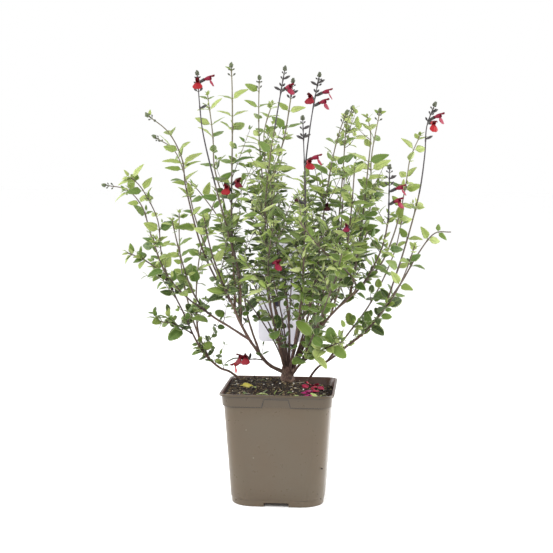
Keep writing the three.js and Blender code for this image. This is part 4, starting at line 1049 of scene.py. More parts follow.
def tipTuft(stem, order, leaves):  # the young leaves that a shoot ends in
    path = walk(stem)
    tip, direction = pointAt(path, path["total"])
    side, outer = stemFrame(stem, direction)
    for pair, (back, length, spreadOut) in enumerate(((9, 15, 0.8), (3, 11, 0.6), (0, 7, 0.4))):
        for half in (0, 1):
            seed = order * 11 + pair * 2 + half + 0.3
            angle = (pair % 2 + half * 2) * math.pi / 2 + order
            forward = unit(around(side, outer, angle) * spreadOut + direction * 0.7)
            size = length * (0.8 + 0.4 * chance(seed))
            spot = tip - direction * back
            if isInside([spot + forward * size]):
                normal = facing(forward, chance(seed + 0.1) - 0.5)
                leaves.append(leafOf(spot, forward, normal, size, 1.0, seed))


# ---- tubes and turned shapes ----
def addRings(heap, rings, **marks):
    # a closed skin over rings of points; a mark is one value or one for each ring
    rows, sides, _ = rings.shape
    body = np.vstack([rings.reshape(-1, 3), rings[0].mean(0), rings[-1].mean(0)])
    first, last = rows * sides, rows * sides + 1
    i = np.arange(sides)
    after = (i + 1) % sides
    row = (np.arange(rows - 1) * sides)[:, None]
    quads = np.stack([row + i, row + after, row + sides + after, row + sides + i], -1).reshape(-1, 4)
    end = (rows - 1) * sides
    caps = [np.stack([i * 0 + first, after, i], 1), np.stack([i * 0 + last, end + i, end + after], 1)]
    full = {}
    for name, values in marks.items():
        values = np.asarray(values, float)
        if values.ndim:
            values = np.broadcast_to(values.reshape(rows, -1), (rows, sides))
            values = np.concatenate([values.reshape(-1), [values[0, 0], values[-1, 0]]])
        full[name] = values
    heap.add(body, quads, np.vstack(caps), **full)


def addTube(heap, points, directions, radii, sides, guide, phase=0.0, square=0.0, rough=0.0, **marks):
    outer = unit(np.cross(directions, guide))
    side = np.cross(outer, directions)
    angles = np.arange(sides) / sides * tau
    reach = np.asarray(radii)[:, None] * (1 - square * (0.5 - 0.5 * np.cos(4 * angles)))
    angles = angles + phase + math.pi / 4
    far = np.concatenate([[0], np.cumsum(np.linalg.norm(np.diff(points, axis=0), axis=1))])
    if rough:
        lumps = [[noise.noise(Vector((math.cos(a) * 2.2, math.sin(a) * 2.2, along / 11 + points[0, 0])))
                  for a in angles] for along in far]
        reach = reach * (1 + rough * np.array(lumps))
    ring = side[:, None] * np.cos(angles)[None, :, None] + outer[:, None] * np.sin(angles)[None, :, None]
    turn = np.tile(np.sin(angles), (len(points), 1))
    addRings(heap, points[:, None] + ring * reach[..., None], far=far, turn=turn, **marks)


def frameOf(direction):  # two directions square to it
    guide = np.array([0, 0, 1.0]) if abs(direction[2]) < 0.9 else np.array([0, 1.0, 0])
    side = unit(np.cross(guide, direction))
    return side, np.cross(direction, side)


def addTurned(heap, start, direction, stations, sides, ribs=0.0, teeth=0.0, toothed=(), **marks):
    # a skin round an axis; each station is (along, radius), and the rings in `toothed` have teeth
    side, up = frameOf(direction)
    angles = np.arange(sides) / sides * tau
    rings = []
    for k, (along, radius) in enumerate(stations):
        isEnd = k in (0, len(stations) - 1)
        radii = radius * (1 + (0 if isEnd else ribs) * np.cos(angles * sides / 2))
        out = along + (teeth if k in toothed else 0) * np.abs(np.sin(angles * 1.5))
        rings.append(start + direction * out[:, None] * np.ones((sides, 1))
                     + side * (radii * np.cos(angles))[:, None] + up * (radii * np.sin(angles))[:, None])
    share = np.linspace(0, 1, len(stations))
    addRings(heap, np.array(rings), share=share, turn=np.tile(np.cos(angles * sides / 2), (len(stations), 1)),
             **marks)


stalk = {
    "ring spacing": 4, "sides": 8, "thinness": 0.92, "knot": 0.45, "knot reach": 2.4,
    "foot swell": (1.35, 1.12), "square": 0.16, "dark square": 0.14,
}
wood = {"knot spacing": 37, "knot": 0.16, "knot reach": 3.2, "rough": 0.2, "thinness": 0.9}
trunk = {"rough": 0.34, "thinness": 1, "sides": 18}


def greenStem(heap, stem, order):
    woodEnd, greenEnd, _ = stemParts(stem)
    path = greenPath(stem)
    start = -2.0 if woodEnd else 0.0
    points, directions, distances = evenly(path, start, path["total"], stalk["ring spacing"])
    if woodEnd:
        points[0] = points[1] - directions[1] * 5
    position = woodEnd + (greenEnd - woodEnd) * np.clip(distances, 0, None) / path["total"]
    radii = np.array([stemRadius(stem, p) for p in position]) * stalk["thinness"]
    if woodEnd == 0:  # a side shoot
        radii[:2] *= stalk["foot swell"]
    knot = growth["first pair at"]
    while knot < path["total"] - 3:
        radii = radii + stalk["knot"] * np.exp(-((distances - knot) / stalk["knot reach"]) ** 2)
        knot += nextPair(stem, knot / path["total"])
    age = np.clip((points[:, 2] - 300) / 300, 0, 1)
    addTube(heap, points, directions, radii, stalk["sides"], guideOf(stem), phase=order * 0.7,
            square=stalk["square"], age=age, tint=chance(order + 0.5))


def darkStem(heap, stem, order):
    _, greenEnd, last = stemParts(stem)
    path = walk(stem, greenEnd, last)
    points, directions, distances = evenly(path, 0, path["total"], stalk["ring spacing"])
    position = greenEnd + (last - greenEnd) * distances / path["total"]
    radii = np.array([stemRadius(stem, p) for p in position]) * np.linspace(1, 0.8, len(points))
    for bloom in blooms:
        if bloom["node"] == "raceme_" + shortName(stem):
            radii = radii + 0.5 * np.exp(-(np.linalg.norm(points - bloom["root"], axis=1) / 3) ** 2)
    addTube(heap, points, directions, radii, stalk["sides"], guideOf(stem), phase=order * 0.7,
            square=stalk["dark square"], age=0.0, tint=chance(order + 0.5), dark=1.0)


def woodStem(heap, stem, order):
    woodEnd, _, _ = stemParts(stem)
    path = walk(stem, 0, woodEnd)
    points, directions, distances = evenly(path, 0, path["total"], stalk["ring spacing"])
    radii = np.array([stemRadius(stem, p) for p in woodEnd * distances / path["total"]])
    for k in range(int(path["total"] / wood["knot spacing"])):
        knot = 14 + wood["knot spacing"] * k + 9 * chance(order + k)
        radii = radii * (1 + wood["knot"] * np.exp(-((distances - knot) / wood["knot reach"]) ** 2))
    kind = wood if "node" in stem else trunk
    sides = kind.get("sides") or (10 if stem["radius"] > 3 else 8)
    age = np.clip((points[:, 2] - 160) / 160, 0, 1)
    addTube(heap, points, directions, radii * kind["thinness"], sides, guideOf(stem), rough=kind["rough"],
            age=age, tint=chance(order + 0.5))


# ---- calyces, buds and flowers ----
calyxShape = [(-1.2, 0.5), (0.4, 0.65), (1.4, 1.1), (3, 1.8), (5.4, 2.2), (7.8, 2.15), (10, 2.4),
              (9.6, 2.0), (7, 1.75), (5, 0.5)]  # outside to the mouth, then back down inside
closedCalyx = [(-1.2, 0.5), (0.4, 0.6), (1.6, 1.0), (3.4, 1.6), (6, 1.95), (8.4, 1.75), (10.2, 1.1),
               (11.6, 0.25)]
budShape = [(0, 0.3), (0.14, 0.62), (0.34, 0.95), (0.55, 1), (0.76, 0.78), (0.92, 0.4), (1, 0.08)]

buds = {
    # along, count, length, radius, lean
    "whorls": ((0, 3, 4.4, 1.6, 0.3), (-1.4, 5, 4.2, 1.6, 0.9), (-2.8, 5, 3.6, 1.3, 1.7)),
    # distance below the tip, count, stalk, length, radius
    "stalked": ((9, 4, 3.4, 3.4, 1.1), (17, 2, 3.6, 4.8, 1.3), (27, 2, 3.0, 6.5, 1.6)),
}


def addBud(heap, base, direction, length, radius, tint, dark=0.6):
    addTurned(heap, base, direction, [(s * length, r * radius) for s, r in budShape], 8, ribs=0.05,
              tint=tint, dark=dark, age=1.0)


def budWhorl(heap, centre, direction, count, length, radius, lean, seed, dark):
    side, up = frameOf(direction)
    for i in range(count):
        way = unit(around(side, up, (i / count + chance(seed)) * tau) * lean + direction)
        size = length * (0.85 + 0.3 * chance(seed + i))
        addBud(heap, centre + way * 0.3, way, size, radius, chance(seed + i), dark)


def budHead(heap, stem, order):  # the tight cluster of young buds at a flowering tip, looser below
    path = walk(stem)
    dark = 0.8 if "dark" in stem else 0.6
    for k, (along, count, length, radius, lean) in enumerate(buds["whorls"]):
        point, direction = pointAt(path, path["total"] + along)
        budWhorl(heap, point, direction, count, length, radius, lean, order * 5 + k, dark)
    for k, (back, count, stalk, length, radius) in enumerate(buds["stalked"]):
        if "dark" not in stem and k == 2:
            continue
        point, direction = pointAt(path, path["total"] - back)
        side, up = frameOf(direction)
        for i in range(count):
            angle = (i / count + chance(order + k * 0.3)) * tau
            way = unit(around(side, up, angle) + direction * 0.9)
            line = point + way * stalk * np.linspace(0, 1, 3)[:, None]
            addTube(heap, line, np.tile(way, (3, 1)), [0.4] * 3, 5, side + up * 0.3,
                    age=0.5, tint=0.4, dark=dark)
            addBud(heap, line[-1] - way * 0.3, way, length, radius, chance(i + order), dark + 0.25)


def addCalyx(heap, bloom):
    shape = calyxShape if bloom["open"] else closedCalyx
    addTurned(heap, bloom["root"], bloom["calyxWay"], shape, 20, ribs=0.045,
              teeth=1.3 if bloom["open"] else 0, toothed=(6, 7),
              tint=chance(bloom["seed"]), dark=1.0, age=0.0)


petal = {
    "hood": {"length": 8.5, "width": 6.4, "cup": 0.8, "arch": 0.14, "flare": 0},
    "lip": {"length": 12, "width": 14.5, "cup": 0.16, "arch": 0.26, "flare": 0.05},
    "thickness": 0.35,
    "reds": [(0.0, "#2e0a12"), (0.2, "#4d0616"), (0.45, "#6d0a1d"), (0.6, "#860c20"), (0.86, "#ad171b"),
             (1.0, "#86123c")],
}
flower = {"sides": 14, "height": 1.12, "mouth": 2.2, "hood up": 2.3, "lip down": 1.2, "stamens": 8.5}
tube = {  # of a flower, out to its mouth and back down inside
    "at": [0.12, 0.35, 0.62, 0.85, 1, 0.92, 0.7, 0.5],
    "radii": [1.0, 1.35, 1.8, 2.5, 2.9, 2.8, 3.0, 2.6, 2.1, 0.6],
    "along": [0, 0, 0.1, 0.3, 0.5, 0.7, 1, 0.7, 0.3, 0],
}
hoodGrid = bladeGrid(
    [0.05, 0.15, 0.3, 0.45, 0.6, 0.75, 0.88, 0.96], [0.5, 0.7, 0.85, 0.95, 1, 0.95, 0.75, 0.45], 9)
lipGrid = bladeGrid(
    [0.05, 0.13, 0.2, 0.27, 0.34, 0.4, 0.46, 0.54, 0.63, 0.72, 0.8, 0.88, 0.94, 0.98],
    [0.34, 0.4, 0.54, 0.68, 0.76, 0.84, 0.92, 0.99, 1, 0.95, 0.87, 0.74, 0.58, 0.4], 11, tip=0.93)


def addPetal(heap, grid, origin, forward, normal, size, tint, crumple=0.0, seed=0.0):
    along, across, skin = grid["along"], grid["across"], grid["skin"]
    halfWidth = size["width"] / 2
    x = along * size["length"]
    y = across * grid["width"] * halfWidth
    z = skin * petal["thickness"] / 2 - size["arch"] * size["length"] * along ** 2
    z = z - size["cup"] * y * y / halfWidth - size["flare"] * np.abs(y)
    z = z + 0.35 * np.sin(across * 9 + along * 5) * along * (size["width"] > 10)
    z = z + crumple * np.sin(across * 3 + along * 7 + seed) * along * size["length"]
    side = np.cross(normal, forward)
    points = origin + forward * x[:, None] + side * y[:, None] + normal * z[:, None]
    heap.add(points, grid["quads"], grid["triangles"], tint=tint, along=along, across=across, part=1.0)


def addFlower(heap, bloom):
    way, start, tint = bloom["flowerWay"], bloom["start"], bloom["tint"]
    scale = bloom.get("scale", 1)
    length = growth["flower tube"] * scale
    hood, lip = ({key: value * (scale if value > 2 else 1) for key, value in petal[part].items()}
                 for part in ("hood", "lip"))
    up = facing(way)
    inside = bloom["root"] + bloom["calyxWay"] * 6.5
    spine = [inside, start - way * 1.2 + up * 0.1] + [start + way * length * share for share in tube["at"]]
    side, over = frameOf(way)
    angles = np.arange(flower["sides"]) / flower["sides"] * tau
    ring = side * np.cos(angles)[:, None] + over * np.sin(angles)[:, None] * flower["height"]
    rings = np.array([centre + ring * radius * scale for centre, radius in zip(spine, tube["radii"])])
    addRings(heap, rings, tint=tint, along=np.array(tube["along"]), across=0.3, part=0.0)
    mouth = start + way * (length - flower["mouth"])
    hoodWay = unit(way + up * 0.2)
    addPetal(heap, hoodGrid, mouth + up * flower["hood up"], hoodWay, facing(hoodWay), hood, tint * 0.5)
    lipWay = unit(way - up * (1.3 + 0.5 * chance(bloom["seed"])))
    lipUp = facing(lipWay, (chance(bloom["seed"] + 1) - 0.5) * 0.3)
    addPetal(heap, lipGrid, mouth - up * flower["lip down"], lipWay, lipUp, lip, tint)
    steps = np.linspace(0, 1, 5)[:, None]
    for turn in (-0.5, 0.5):  # stamens under the hood
        line = mouth + up * 1.0 + side * turn + hoodWay * flower["stamens"] * steps - up * 1.2 * steps ** 2
        addTube(heap, line, directionsOf(line), [0.28] * 4 + [0.5], 5, side + 1e-3,
                tint=tint, along=0.0, across=0.9, part=0.5)


# ---- the plant's materials ----
def leafMaterial():
    # a living sage leaf: matt and faintly downy above, paler below, and light comes through it
    material, tree = newMaterial("sage leaf, downy, thin enough to glow")
    tint = mark(tree, "tint")
    across = maths(tree, "ABSOLUTE", mark(tree, "across"))
    shade = maths(tree, "SUBTRACT", maths(tree, "ADD", tint, mark(tree, "age")), 0.53)
    colour = colourRamp(tree, shade, [
        (0.0, "#1c300d"), (0.22, "#42621d"), (0.56, "#6a8130"), (0.82, "#8b9b48"), (1.0, "#acb96c")])
    # the crowded leaves in the middle are a fuller green
    full = colourRamp(tree, tint, [
        (0.0, "#081003"), (0.32, "#243a09"), (0.66, "#5f7b1a"), (0.88, "#9fb650"), (1.0, "#e6edaa")])
    colour = mixed(tree, mark(tree, "lush"), colour, full)
    mottle = speckle(tree, 4, Detail=3)
    colour = mixed(tree, fade(tree, mottle, 0.35, 0.75, 0.35), colour, "#647a33")
    # side veins run from the midrib to the margin, about seven on each side
    slanted = maths(tree, "MULTIPLY_ADD", across, -0.16, mark(tree, "along"))
    wave = maths(tree, "COSINE", maths(tree, "MULTIPLY", slanted, tau * 8))
    veins = maths(tree, "MAXIMUM", fade(tree, wave, 0.86, 1, 0.55), fade(tree, across, 0.1, 0.02, 0.8))
    # painted shade: the sunken veins and the midrib are coloured darker
    colour = mixed(tree, veins, colour, "#6d813b")
    colour = mixed(tree, fade(tree, across, 0.74, 0.98, 0.6), colour, "#ccd692")  # the margin
    colour = mixed(tree, fade(tree, mark(tree, "skin"), 0, -0.6, 0.45), colour, "#84935a")  # the underside
    colour = mixed(tree, fade(tree, tint, 0.9975, 0.999), colour, "#b7a53e")  # a rare yellow leaf
    relief = maths(tree, "MULTIPLY_ADD", veins, -0.6, mottle)
    settings = {"Roughness": 0.52, "IOR": 1.42, "Sheen Weight": 0.12, "Sheen Roughness": 0.5}
    skin = skinOf(tree, settings, colour, Normal=bumped(tree, relief, 0.35, 0.5))
    finish(tree, thinSkin(tree, skin, mixed(tree, 0.35, colour, "#b5cc3e"), 0.17))
    return material


def stalkMaterial():
    # a green sage stem: square, smooth, purplish brown where it is older
    material, tree = newMaterial("green sage stem, smooth, purple with age")
    shade = maths(tree, "MULTIPLY_ADD", mark(tree, "tint"), 0.5, mark(tree, "age"))
    shade = maths(tree, "MULTIPLY_ADD", speckle(tree, 30, Detail=2), 0.5, shade)
    colour = colourRamp(tree, maths(tree, "SUBTRACT", shade, 0.45), [
        (0.0, "#3f2d2a"), (0.35, "#514239"), (0.7, "#594f43"), (1.0, "#625c47")])
    colour = mixed(tree, fade(tree, mark(tree, "turn"), 0.2, 1, 0.35), colour, "#736a50")
    finish(tree, skinOf(tree, {"Roughness": 0.55, "IOR": 1.42}, colour,
                        Normal=bumped(tree, speckle(tree, 0.7), 0.25, 0.2)))
    return material


def barkMaterial():
    # old sage bark: dull grey brown with purple in it, split into fine strips along the stem
    material, tree = newMaterial("sage bark, dull, peeling in strips")
    strip = addNode(tree, "ShaderNodeCombineXYZ", None, {
        "X": maths(tree, "MULTIPLY", mark(tree, "turn"), 2.6),
        "Y": maths(tree, "MULTIPLY", mark(tree, "far"), 0.085), "Z": mark(tree, "tint")})
    fibres = addNode(tree, "ShaderNodeTexNoise", {"Scale": 2.4, "Detail": 6, "Roughness": 0.65},
                     {"Vector": strip.outputs[0]}).outputs["Fac"]
    colour = colourRamp(tree, fibres, [
        (0.25, "#2a1f1b"), (0.45, "#4f3e37"), (0.62, "#745f50"), (0.8, "#a08c74")])
    colour = mixed(tree, fade(tree, speckle(tree, 14, Detail=3), 0.45, 0.7, 0.6), colour, "#5f413e")
    colour = mixed(tree, fade(tree, mark(tree, "age"), 0.5, 1, 0.55), colour, "#6b5a49")
    finish(tree, skinOf(tree, {"Roughness": 0.82, "Specular IOR Level": 0.3}, colour,
                        Normal=bumped(tree, fibres, 0.8, 0.6)))
    return material


def calyxMaterial():
    # calyces and flowering stems: thin skin coloured almost black by purple pigment over green, ribbed
    material, tree = newMaterial("calyx skin, ribbed, aubergine over green")
    tint = mark(tree, "tint")
    colour = mixed(tree, tint, "#7f9150", "#65794a")
    colour = mixed(tree, mark(tree, "dark"), colour, mixed(tree, tint, "#1d141c", "#302a2b"))
    colour = mixed(tree, fade(tree, mark(tree, "turn"), 0.3, 1, 0.2), colour, "#66704a")
    finish(tree, skinOf(tree, {"Roughness": 0.6, "Sheen Weight": 0.15}, colour,
                        Normal=bumped(tree, speckle(tree, 0.6), 0.4, 0.2)))
    return material


def petalMaterial(name, colours, throat):
    # velvety and a little see-through, with darker veins; each petal's tint picks its place in `colours`
    material, tree = newMaterial(name)
    colour = colourRamp(tree, mark(tree, "tint"), colours)
    colour = mixed(tree, fade(tree, mark(tree, "along"), 0.35, 0, 0.5), colour, throat)
    veins = maths(tree, "COSINE", maths(tree, "MULTIPLY", mark(tree, "across"), 22))
    colour = mixed(tree, fade(tree, veins, 0.7, 1, 0.35), colour, throat)
    skin = skinOf(tree, {"Roughness": 0.55, "Sheen Weight": 0.06, "Specular IOR Level": 0.25}, colour,
                  Normal=bumped(tree, speckle(tree, 0.9, Detail=2), 0.3, 0.25))
    finish(tree, thinSkin(tree, skin, colour, 0.15))
    return material


# ---- growing the plant ----
def newBranch():
    branch = {part: Heap() for part in ("stalks", "leaves", "tops", "flowers")}
    return {"large": [], "small": [], "axils": [], "nodes": set(), **branch}


def sortOf(leaf):  # which grid a small leaf is made from
    if leaf["round"]:
        return "round"
    if leaf["length"] <= growth["tiny leaf"]:
        return "tiny"
    return "slim" if leaf["width"] / leaf["length"] < 0.43 else "small"


def growPlant():
    leafSkin, stalkSkin, bark, calyxSkin = leafMaterial(), stalkMaterial(), barkMaterial(), calyxMaterial()
    crimson = petalMaterial("salvia petal, velvety crimson", petal["reds"], "#43060f")
    leafy = [(order, stem) for order, stem in enumerate(stems) if "node" in stem]
    grown = {}
    # the main leaves come first and in the same order as in the solids, so that the same ones find room
    for order, stem in leafy:
        branch = grown.setdefault(branchOf[stem["node"]], newBranch())
        found = []
        mainLeaves(stem, order, branch["large"], found)
        branch["axils"] += [(stem, axil) for axil in found]
    for order, stem in leafy:
        branch = grown[branchOf[stem["node"]]]
        branch["nodes"].add(stem["node"])
        greenStem(branch["stalks"], stem, order)
        extraPairs(stem, order, branch["small"])
        woodTwigs(stem, order, branch)
        bushTwigs(stem, order, branch)
        if "dark" in stem:
            darkStem(branch["tops"], stem, order)
        if stem["tip"] in ("buds", "raceme"):
            budHead(branch["tops"], stem, order)
        elif stem["tip"] == "leaves":
            tipTuft(stem, order, branch["small"])
    racemeBranch = {"raceme_" + shortName(s): branchOf[s["node"]] for s in stems if "dark" in s}
    flowerNodes = {}
    for stem in stems:
        opened = sum(1 for bloom in stem.get("blooms", []) if bloom[2])
        if opened:
            names = [f"flower_{shortName(stem)}_{i + 1}" for i in range(opened)]
            flowerNodes.setdefault(branchOf[stem["node"]], []).extend(names)
    for bloom in blooms:
        branch = grown[racemeBranch.get(bloom["node"]) or branchOf[bloom["node"]]]
        addCalyx(branch["tops"], bloom)
        if bloom["open"]:
            addFlower(branch["flowers"], bloom)
    growSideShoots(grown)
    growCanes(grown)
    growLateBlooms(grown)
    for name, branch in grown.items():
        for stem, axil in branch["axils"]:
            axilGrowth(stem, axil, branch)
        growBlades(branch["leaves"], largeLeaf, [leaf for leaf in branch["large"] if not leaf["round"]])
        growBlades(branch["leaves"], roundLeaf, [leaf for leaf in branch["large"] if leaf["round"]])
        for sort, grid in smallGrids.items():
            growBlades(branch["leaves"], grid, [leaf for leaf in branch["small"] if sortOf(leaf) == sort])
        shoots = sorted(branch["nodes"])
        racemes = sorted(node for node, owner in racemeBranch.items() if owner == name)
        makePiece("leaves_" + name, branch["leaves"], leafSkin, shoots)
        makePiece("stalks_" + name, branch["stalks"], stalkSkin, shoots)
        if branch["tops"].size:
            makePiece("tops_" + name, branch["tops"], calyxSkin, racemes)
        if branch["flowers"].size:
            makePiece("flowers_" + name, branch["flowers"], crimson, flowerNodes.get(name, ()))
        print("branch", name, len(branch["large"]), "large and", len(branch["small"]), "small leaves")
    woods = {}
    for order, stem in enumerate(stems):
        if stemParts(stem)[0]:
            woodStem(woods.setdefault(stem["limb"], Heap()), stem, order)
    for limb, heap in woods.items():
        makePiece(limb.replace("wood", "limbs"), heap, bark, [limb])
    return leafSkin


# ---- the pot ----
pot = {
    "foot half": 69.5, "body half": 78.6, "foot corner": 34, "rim corner": 16, "height": 170,
    "collar foot": 151, "wall": 2, "step": {"height": 10, "depth": 0.8},
    # from the collar's foot over the lip and down inside: half width, how much rounder than the rim, height
    "collar and lip": [
        (78.4, 1.8, 150.6), (78.5, 1.6, 151.1), (79.6, 1.2, 151.2), (80.45, 1, 151.4), (80.6, 1, 151.9),
        (81.1, 0.5, 159), (81.6, 0, 165.7), (81.9, 0, 166.3), (82.6, 0, 166.5), (84.4, 0, 166.6),
        (84.75, 0, 166.9), (84.8, 0, 167.4), (84.65, 0, 169.2), (84.3, -0.2, 169.8), (83.7, -0.4, 170),
        (82, -0.8, 169.95), (81.5, -1, 169.6), (81.2, -1, 168.8), (79.6, -0.2, 163), (76.6, 1, 147)],
    "channel": {"width": 37, "height": 6, "length": 34}, "hole": {"radius": 5, "inset": 12},
    "recess": {"top": 36, "foot": 43, "height": 12, "front": -90, "back": -78.7, "slope": 1.3},
    "edge": 0.4,  # rounding of the cut edges
}


def cornerCentre(half, corner, quarter):  # the centre of a corner's rounding
    x = (half - corner) * (1 if quarter % 4 in (0, 3) else -1)
    return x, (half - corner) * (1 if quarter % 4 < 2 else -1)


def squareRing(half, corner, z, steps=10, runs=(0.04, 0.2, 0.5, 0.8, 0.96)):
    # a rounded square as one ring of points; `runs` are extra points along each straight side
    ring = []
    for quarter in range(4):
        cx, cy = cornerCentre(half, corner, quarter)
        for step in range(steps + 1):
            angle = (quarter + step / steps) * tau / 4
            ring.append((cx + corner * math.cos(angle), cy + corner * math.sin(angle), z))
        end = np.array(ring[-1])
        nextX, nextY = cornerCentre(half, corner, quarter + 1)
        start = np.array([nextX + corner * math.cos(angle), nextY + corner * math.sin(angle), z])
        ring += [tuple(end + (start - end) * run) for run in runs]
    return ring


def bodyHalf(z):
    return pot["foot half"] + (pot["body half"] - pot["foot half"]) * z / pot["collar foot"]


def bodyCorner(z):
    return pot["foot corner"] + (pot["rim corner"] + 2 - pot["foot corner"]) * z / pot["collar foot"]


def quarterTurn(quarter):
    turn = quarter * tau / 4
    c, s = round(math.cos(turn)), round(math.sin(turn))
    return np.array([[c, s, 0], [-s, c, 0], [0, 0, 1]])


def boxMesh(heap, low, high, quarter):  # a box turned by quarters about the pot's axis
    corners = [[x, y, z] for z in (low[2], high[2]) for y in (low[1], high[1]) for x in (low[0], high[0])]
    heap.add(np.array(corners) @ quarterTurn(quarter), boxFaces, [])


def cutterObject(name, heap):
    cutter = bpy.data.objects.new(name, meshOf(name, heap))
    bpy.context.scene.collection.objects.link(cutter)
    return cutter


def wallOf(pot):  # rings from the foot up the outside, over the rim and down the inside
    foot, step, corner, wall = pot["foot half"], pot["step"], pot["foot corner"], pot["wall"]
    z, depth = step["height"], step["depth"]
    rows = [(foot - depth - 0.9, corner - 0.9, 0), (foot - depth, corner, 0.9)]
    rows += [(bodyHalf(z) - depth, corner, z - 0.5), (bodyHalf(z) - 0.3, corner, z)]
    rows += [(bodyHalf(z + h), bodyCorner(z + h), z + h) for h in np.linspace(0.5, 139.8, 7)]
    rows += [(half, pot["rim corner"] + rounder, height) for half, rounder, height in pot["collar and lip"]]
    middle = 70  # a ring inside, halfway down
    rows += [(bodyHalf(middle) - wall, bodyCorner(middle) - wall, middle), (foot - wall, corner - wall, wall)]
    return np.array([squareRing(half, rounding, height) for half, rounding, height in rows])


def buildPot():
    shell, covers, hollows, holes, recesses = (Heap() for _ in range(5))
    addRings(shell, wallOf(pot))
    body = cutterObject("pot_shell", shell)
    channel, hole, recess, foot = pot["channel"], pot["hole"], pot["recess"], pot["foot half"]
    inner = -foot + channel["length"]
    wide = channel["width"] / 2
    top, low = recess["top"] / 2, recess["foot"] / 2
    front, back, over = recess["front"], recess["back"], recess["back"] - recess["slope"]
    floor, ceiling = pot["collar foot"] - 0.5, pot["collar foot"] + recess["height"]
    for quarter in range(4):
        spin = quarterTurn(quarter)
        roof = channel["height"] + pot["wall"]
        boxMesh(covers, (-wide - 2, inner - 33, 0.05), (wide + 2, inner, roof), quarter)
        boxMesh(hollows, (-wide, -foot - 8, -1), (wide, inner - 2, channel["height"]), quarter)
        rings = [[(hole["radius"] * math.cos(a), inner - hole["inset"] + hole["radius"] * math.sin(a), z)
                  for a in np.arange(24) / 24 * tau] for z in (3, 11)]
        addRings(holes, np.array(rings) @ spin)
        wedge = np.array([
            [-low, front, floor], [low, front, floor], [top, front, ceiling], [-top, front, ceiling],
            [-low, back, floor], [low, back, floor], [top, over, ceiling], [-top, over, ceiling]])
        recesses.add(wedge @ spin, [(0, 1, 2, 3), (4, 7, 6, 5), (0, 4, 5, 1), (1, 5, 6, 2), (2, 6, 7, 3),
                                    (3, 7, 4, 0)], [])
    cutters = []
    for name, heap, how in (("covers", covers, "UNION"), ("hollows", hollows, "DIFFERENCE"),
                            ("holes", holes, "DIFFERENCE"), ("recesses", recesses, "DIFFERENCE")):
        cutters.append(cutterObject(name, heap))
        cut = body.modifiers.new(name, "BOOLEAN")
        cut.operation, cut.object, cut.solver = how, cutters[-1], "EXACT"
    rounding = body.modifiers.new("rounding", "BEVEL")
    rounding.width, rounding.segments, rounding.limit_method = pot["edge"] * mm, 2, "ANGLE"
    rounding.angle_limit = math.radians(50)
    whole = bpy.data.meshes.new_from_object(body.evaluated_get(bpy.context.evaluated_depsgraph_get()))
    for spare in [body, *cutters]:
        bpy.data.objects.remove(spare)
    dress("pot_wall", whole, potMaterial(), ["pot"], sharpAngle=35)


def near(tree, value, at, reach):  # 1 at `at` millimetres, fading out within `reach`
    gap = maths(tree, "ABSOLUTE", maths(tree, "SUBTRACT", value, at * mm))
    return fade(tree, gap, reach * mm, reach * 0.4 * mm)


creaseShade = {  # painted shade in the creases, as a height or for the flanks a distance from the side's middle, and its reach
    "flanks": (65.1, 0.9), "lean": 0.29, "recess": (157, 7.5), "head": (163.2, 0.9),
    "collar foot": (151, 0.8), "lip": (166.1, 0.8),
}


def paintedCreaseShade(tree, axes, height):  # painted shade in the corners under the lip and the collar and round the recesses
    across = maths(tree, "MINIMUM", *(maths(tree, "ABSOLUTE", axes.outputs[name]) for name in ("X", "Y")))
    leaning = maths(tree, "MULTIPLY_ADD", height, creaseShade["lean"], across)
    isAtRecess = near(tree, height, *creaseShade["recess"])
    flanks = maths(tree, "MULTIPLY", near(tree, leaning, *creaseShade["flanks"]), isAtRecess)
    isWithin = fade(tree, across, 18.6 * mm, 18 * mm)
    head = maths(tree, "MULTIPLY", near(tree, height, *creaseShade["head"]), isWithin)
    isAside = fade(tree, across, 20.5 * mm, 21.5 * mm)
    foot = maths(tree, "MULTIPLY", near(tree, height, *creaseShade["collar foot"]), isAside)
    seams = maths(tree, "MAXIMUM", maths(tree, "MAXIMUM", flanks, head), foot)
    return maths(tree, "MAXIMUM", seams, near(tree, height, *creaseShade["lip"]))


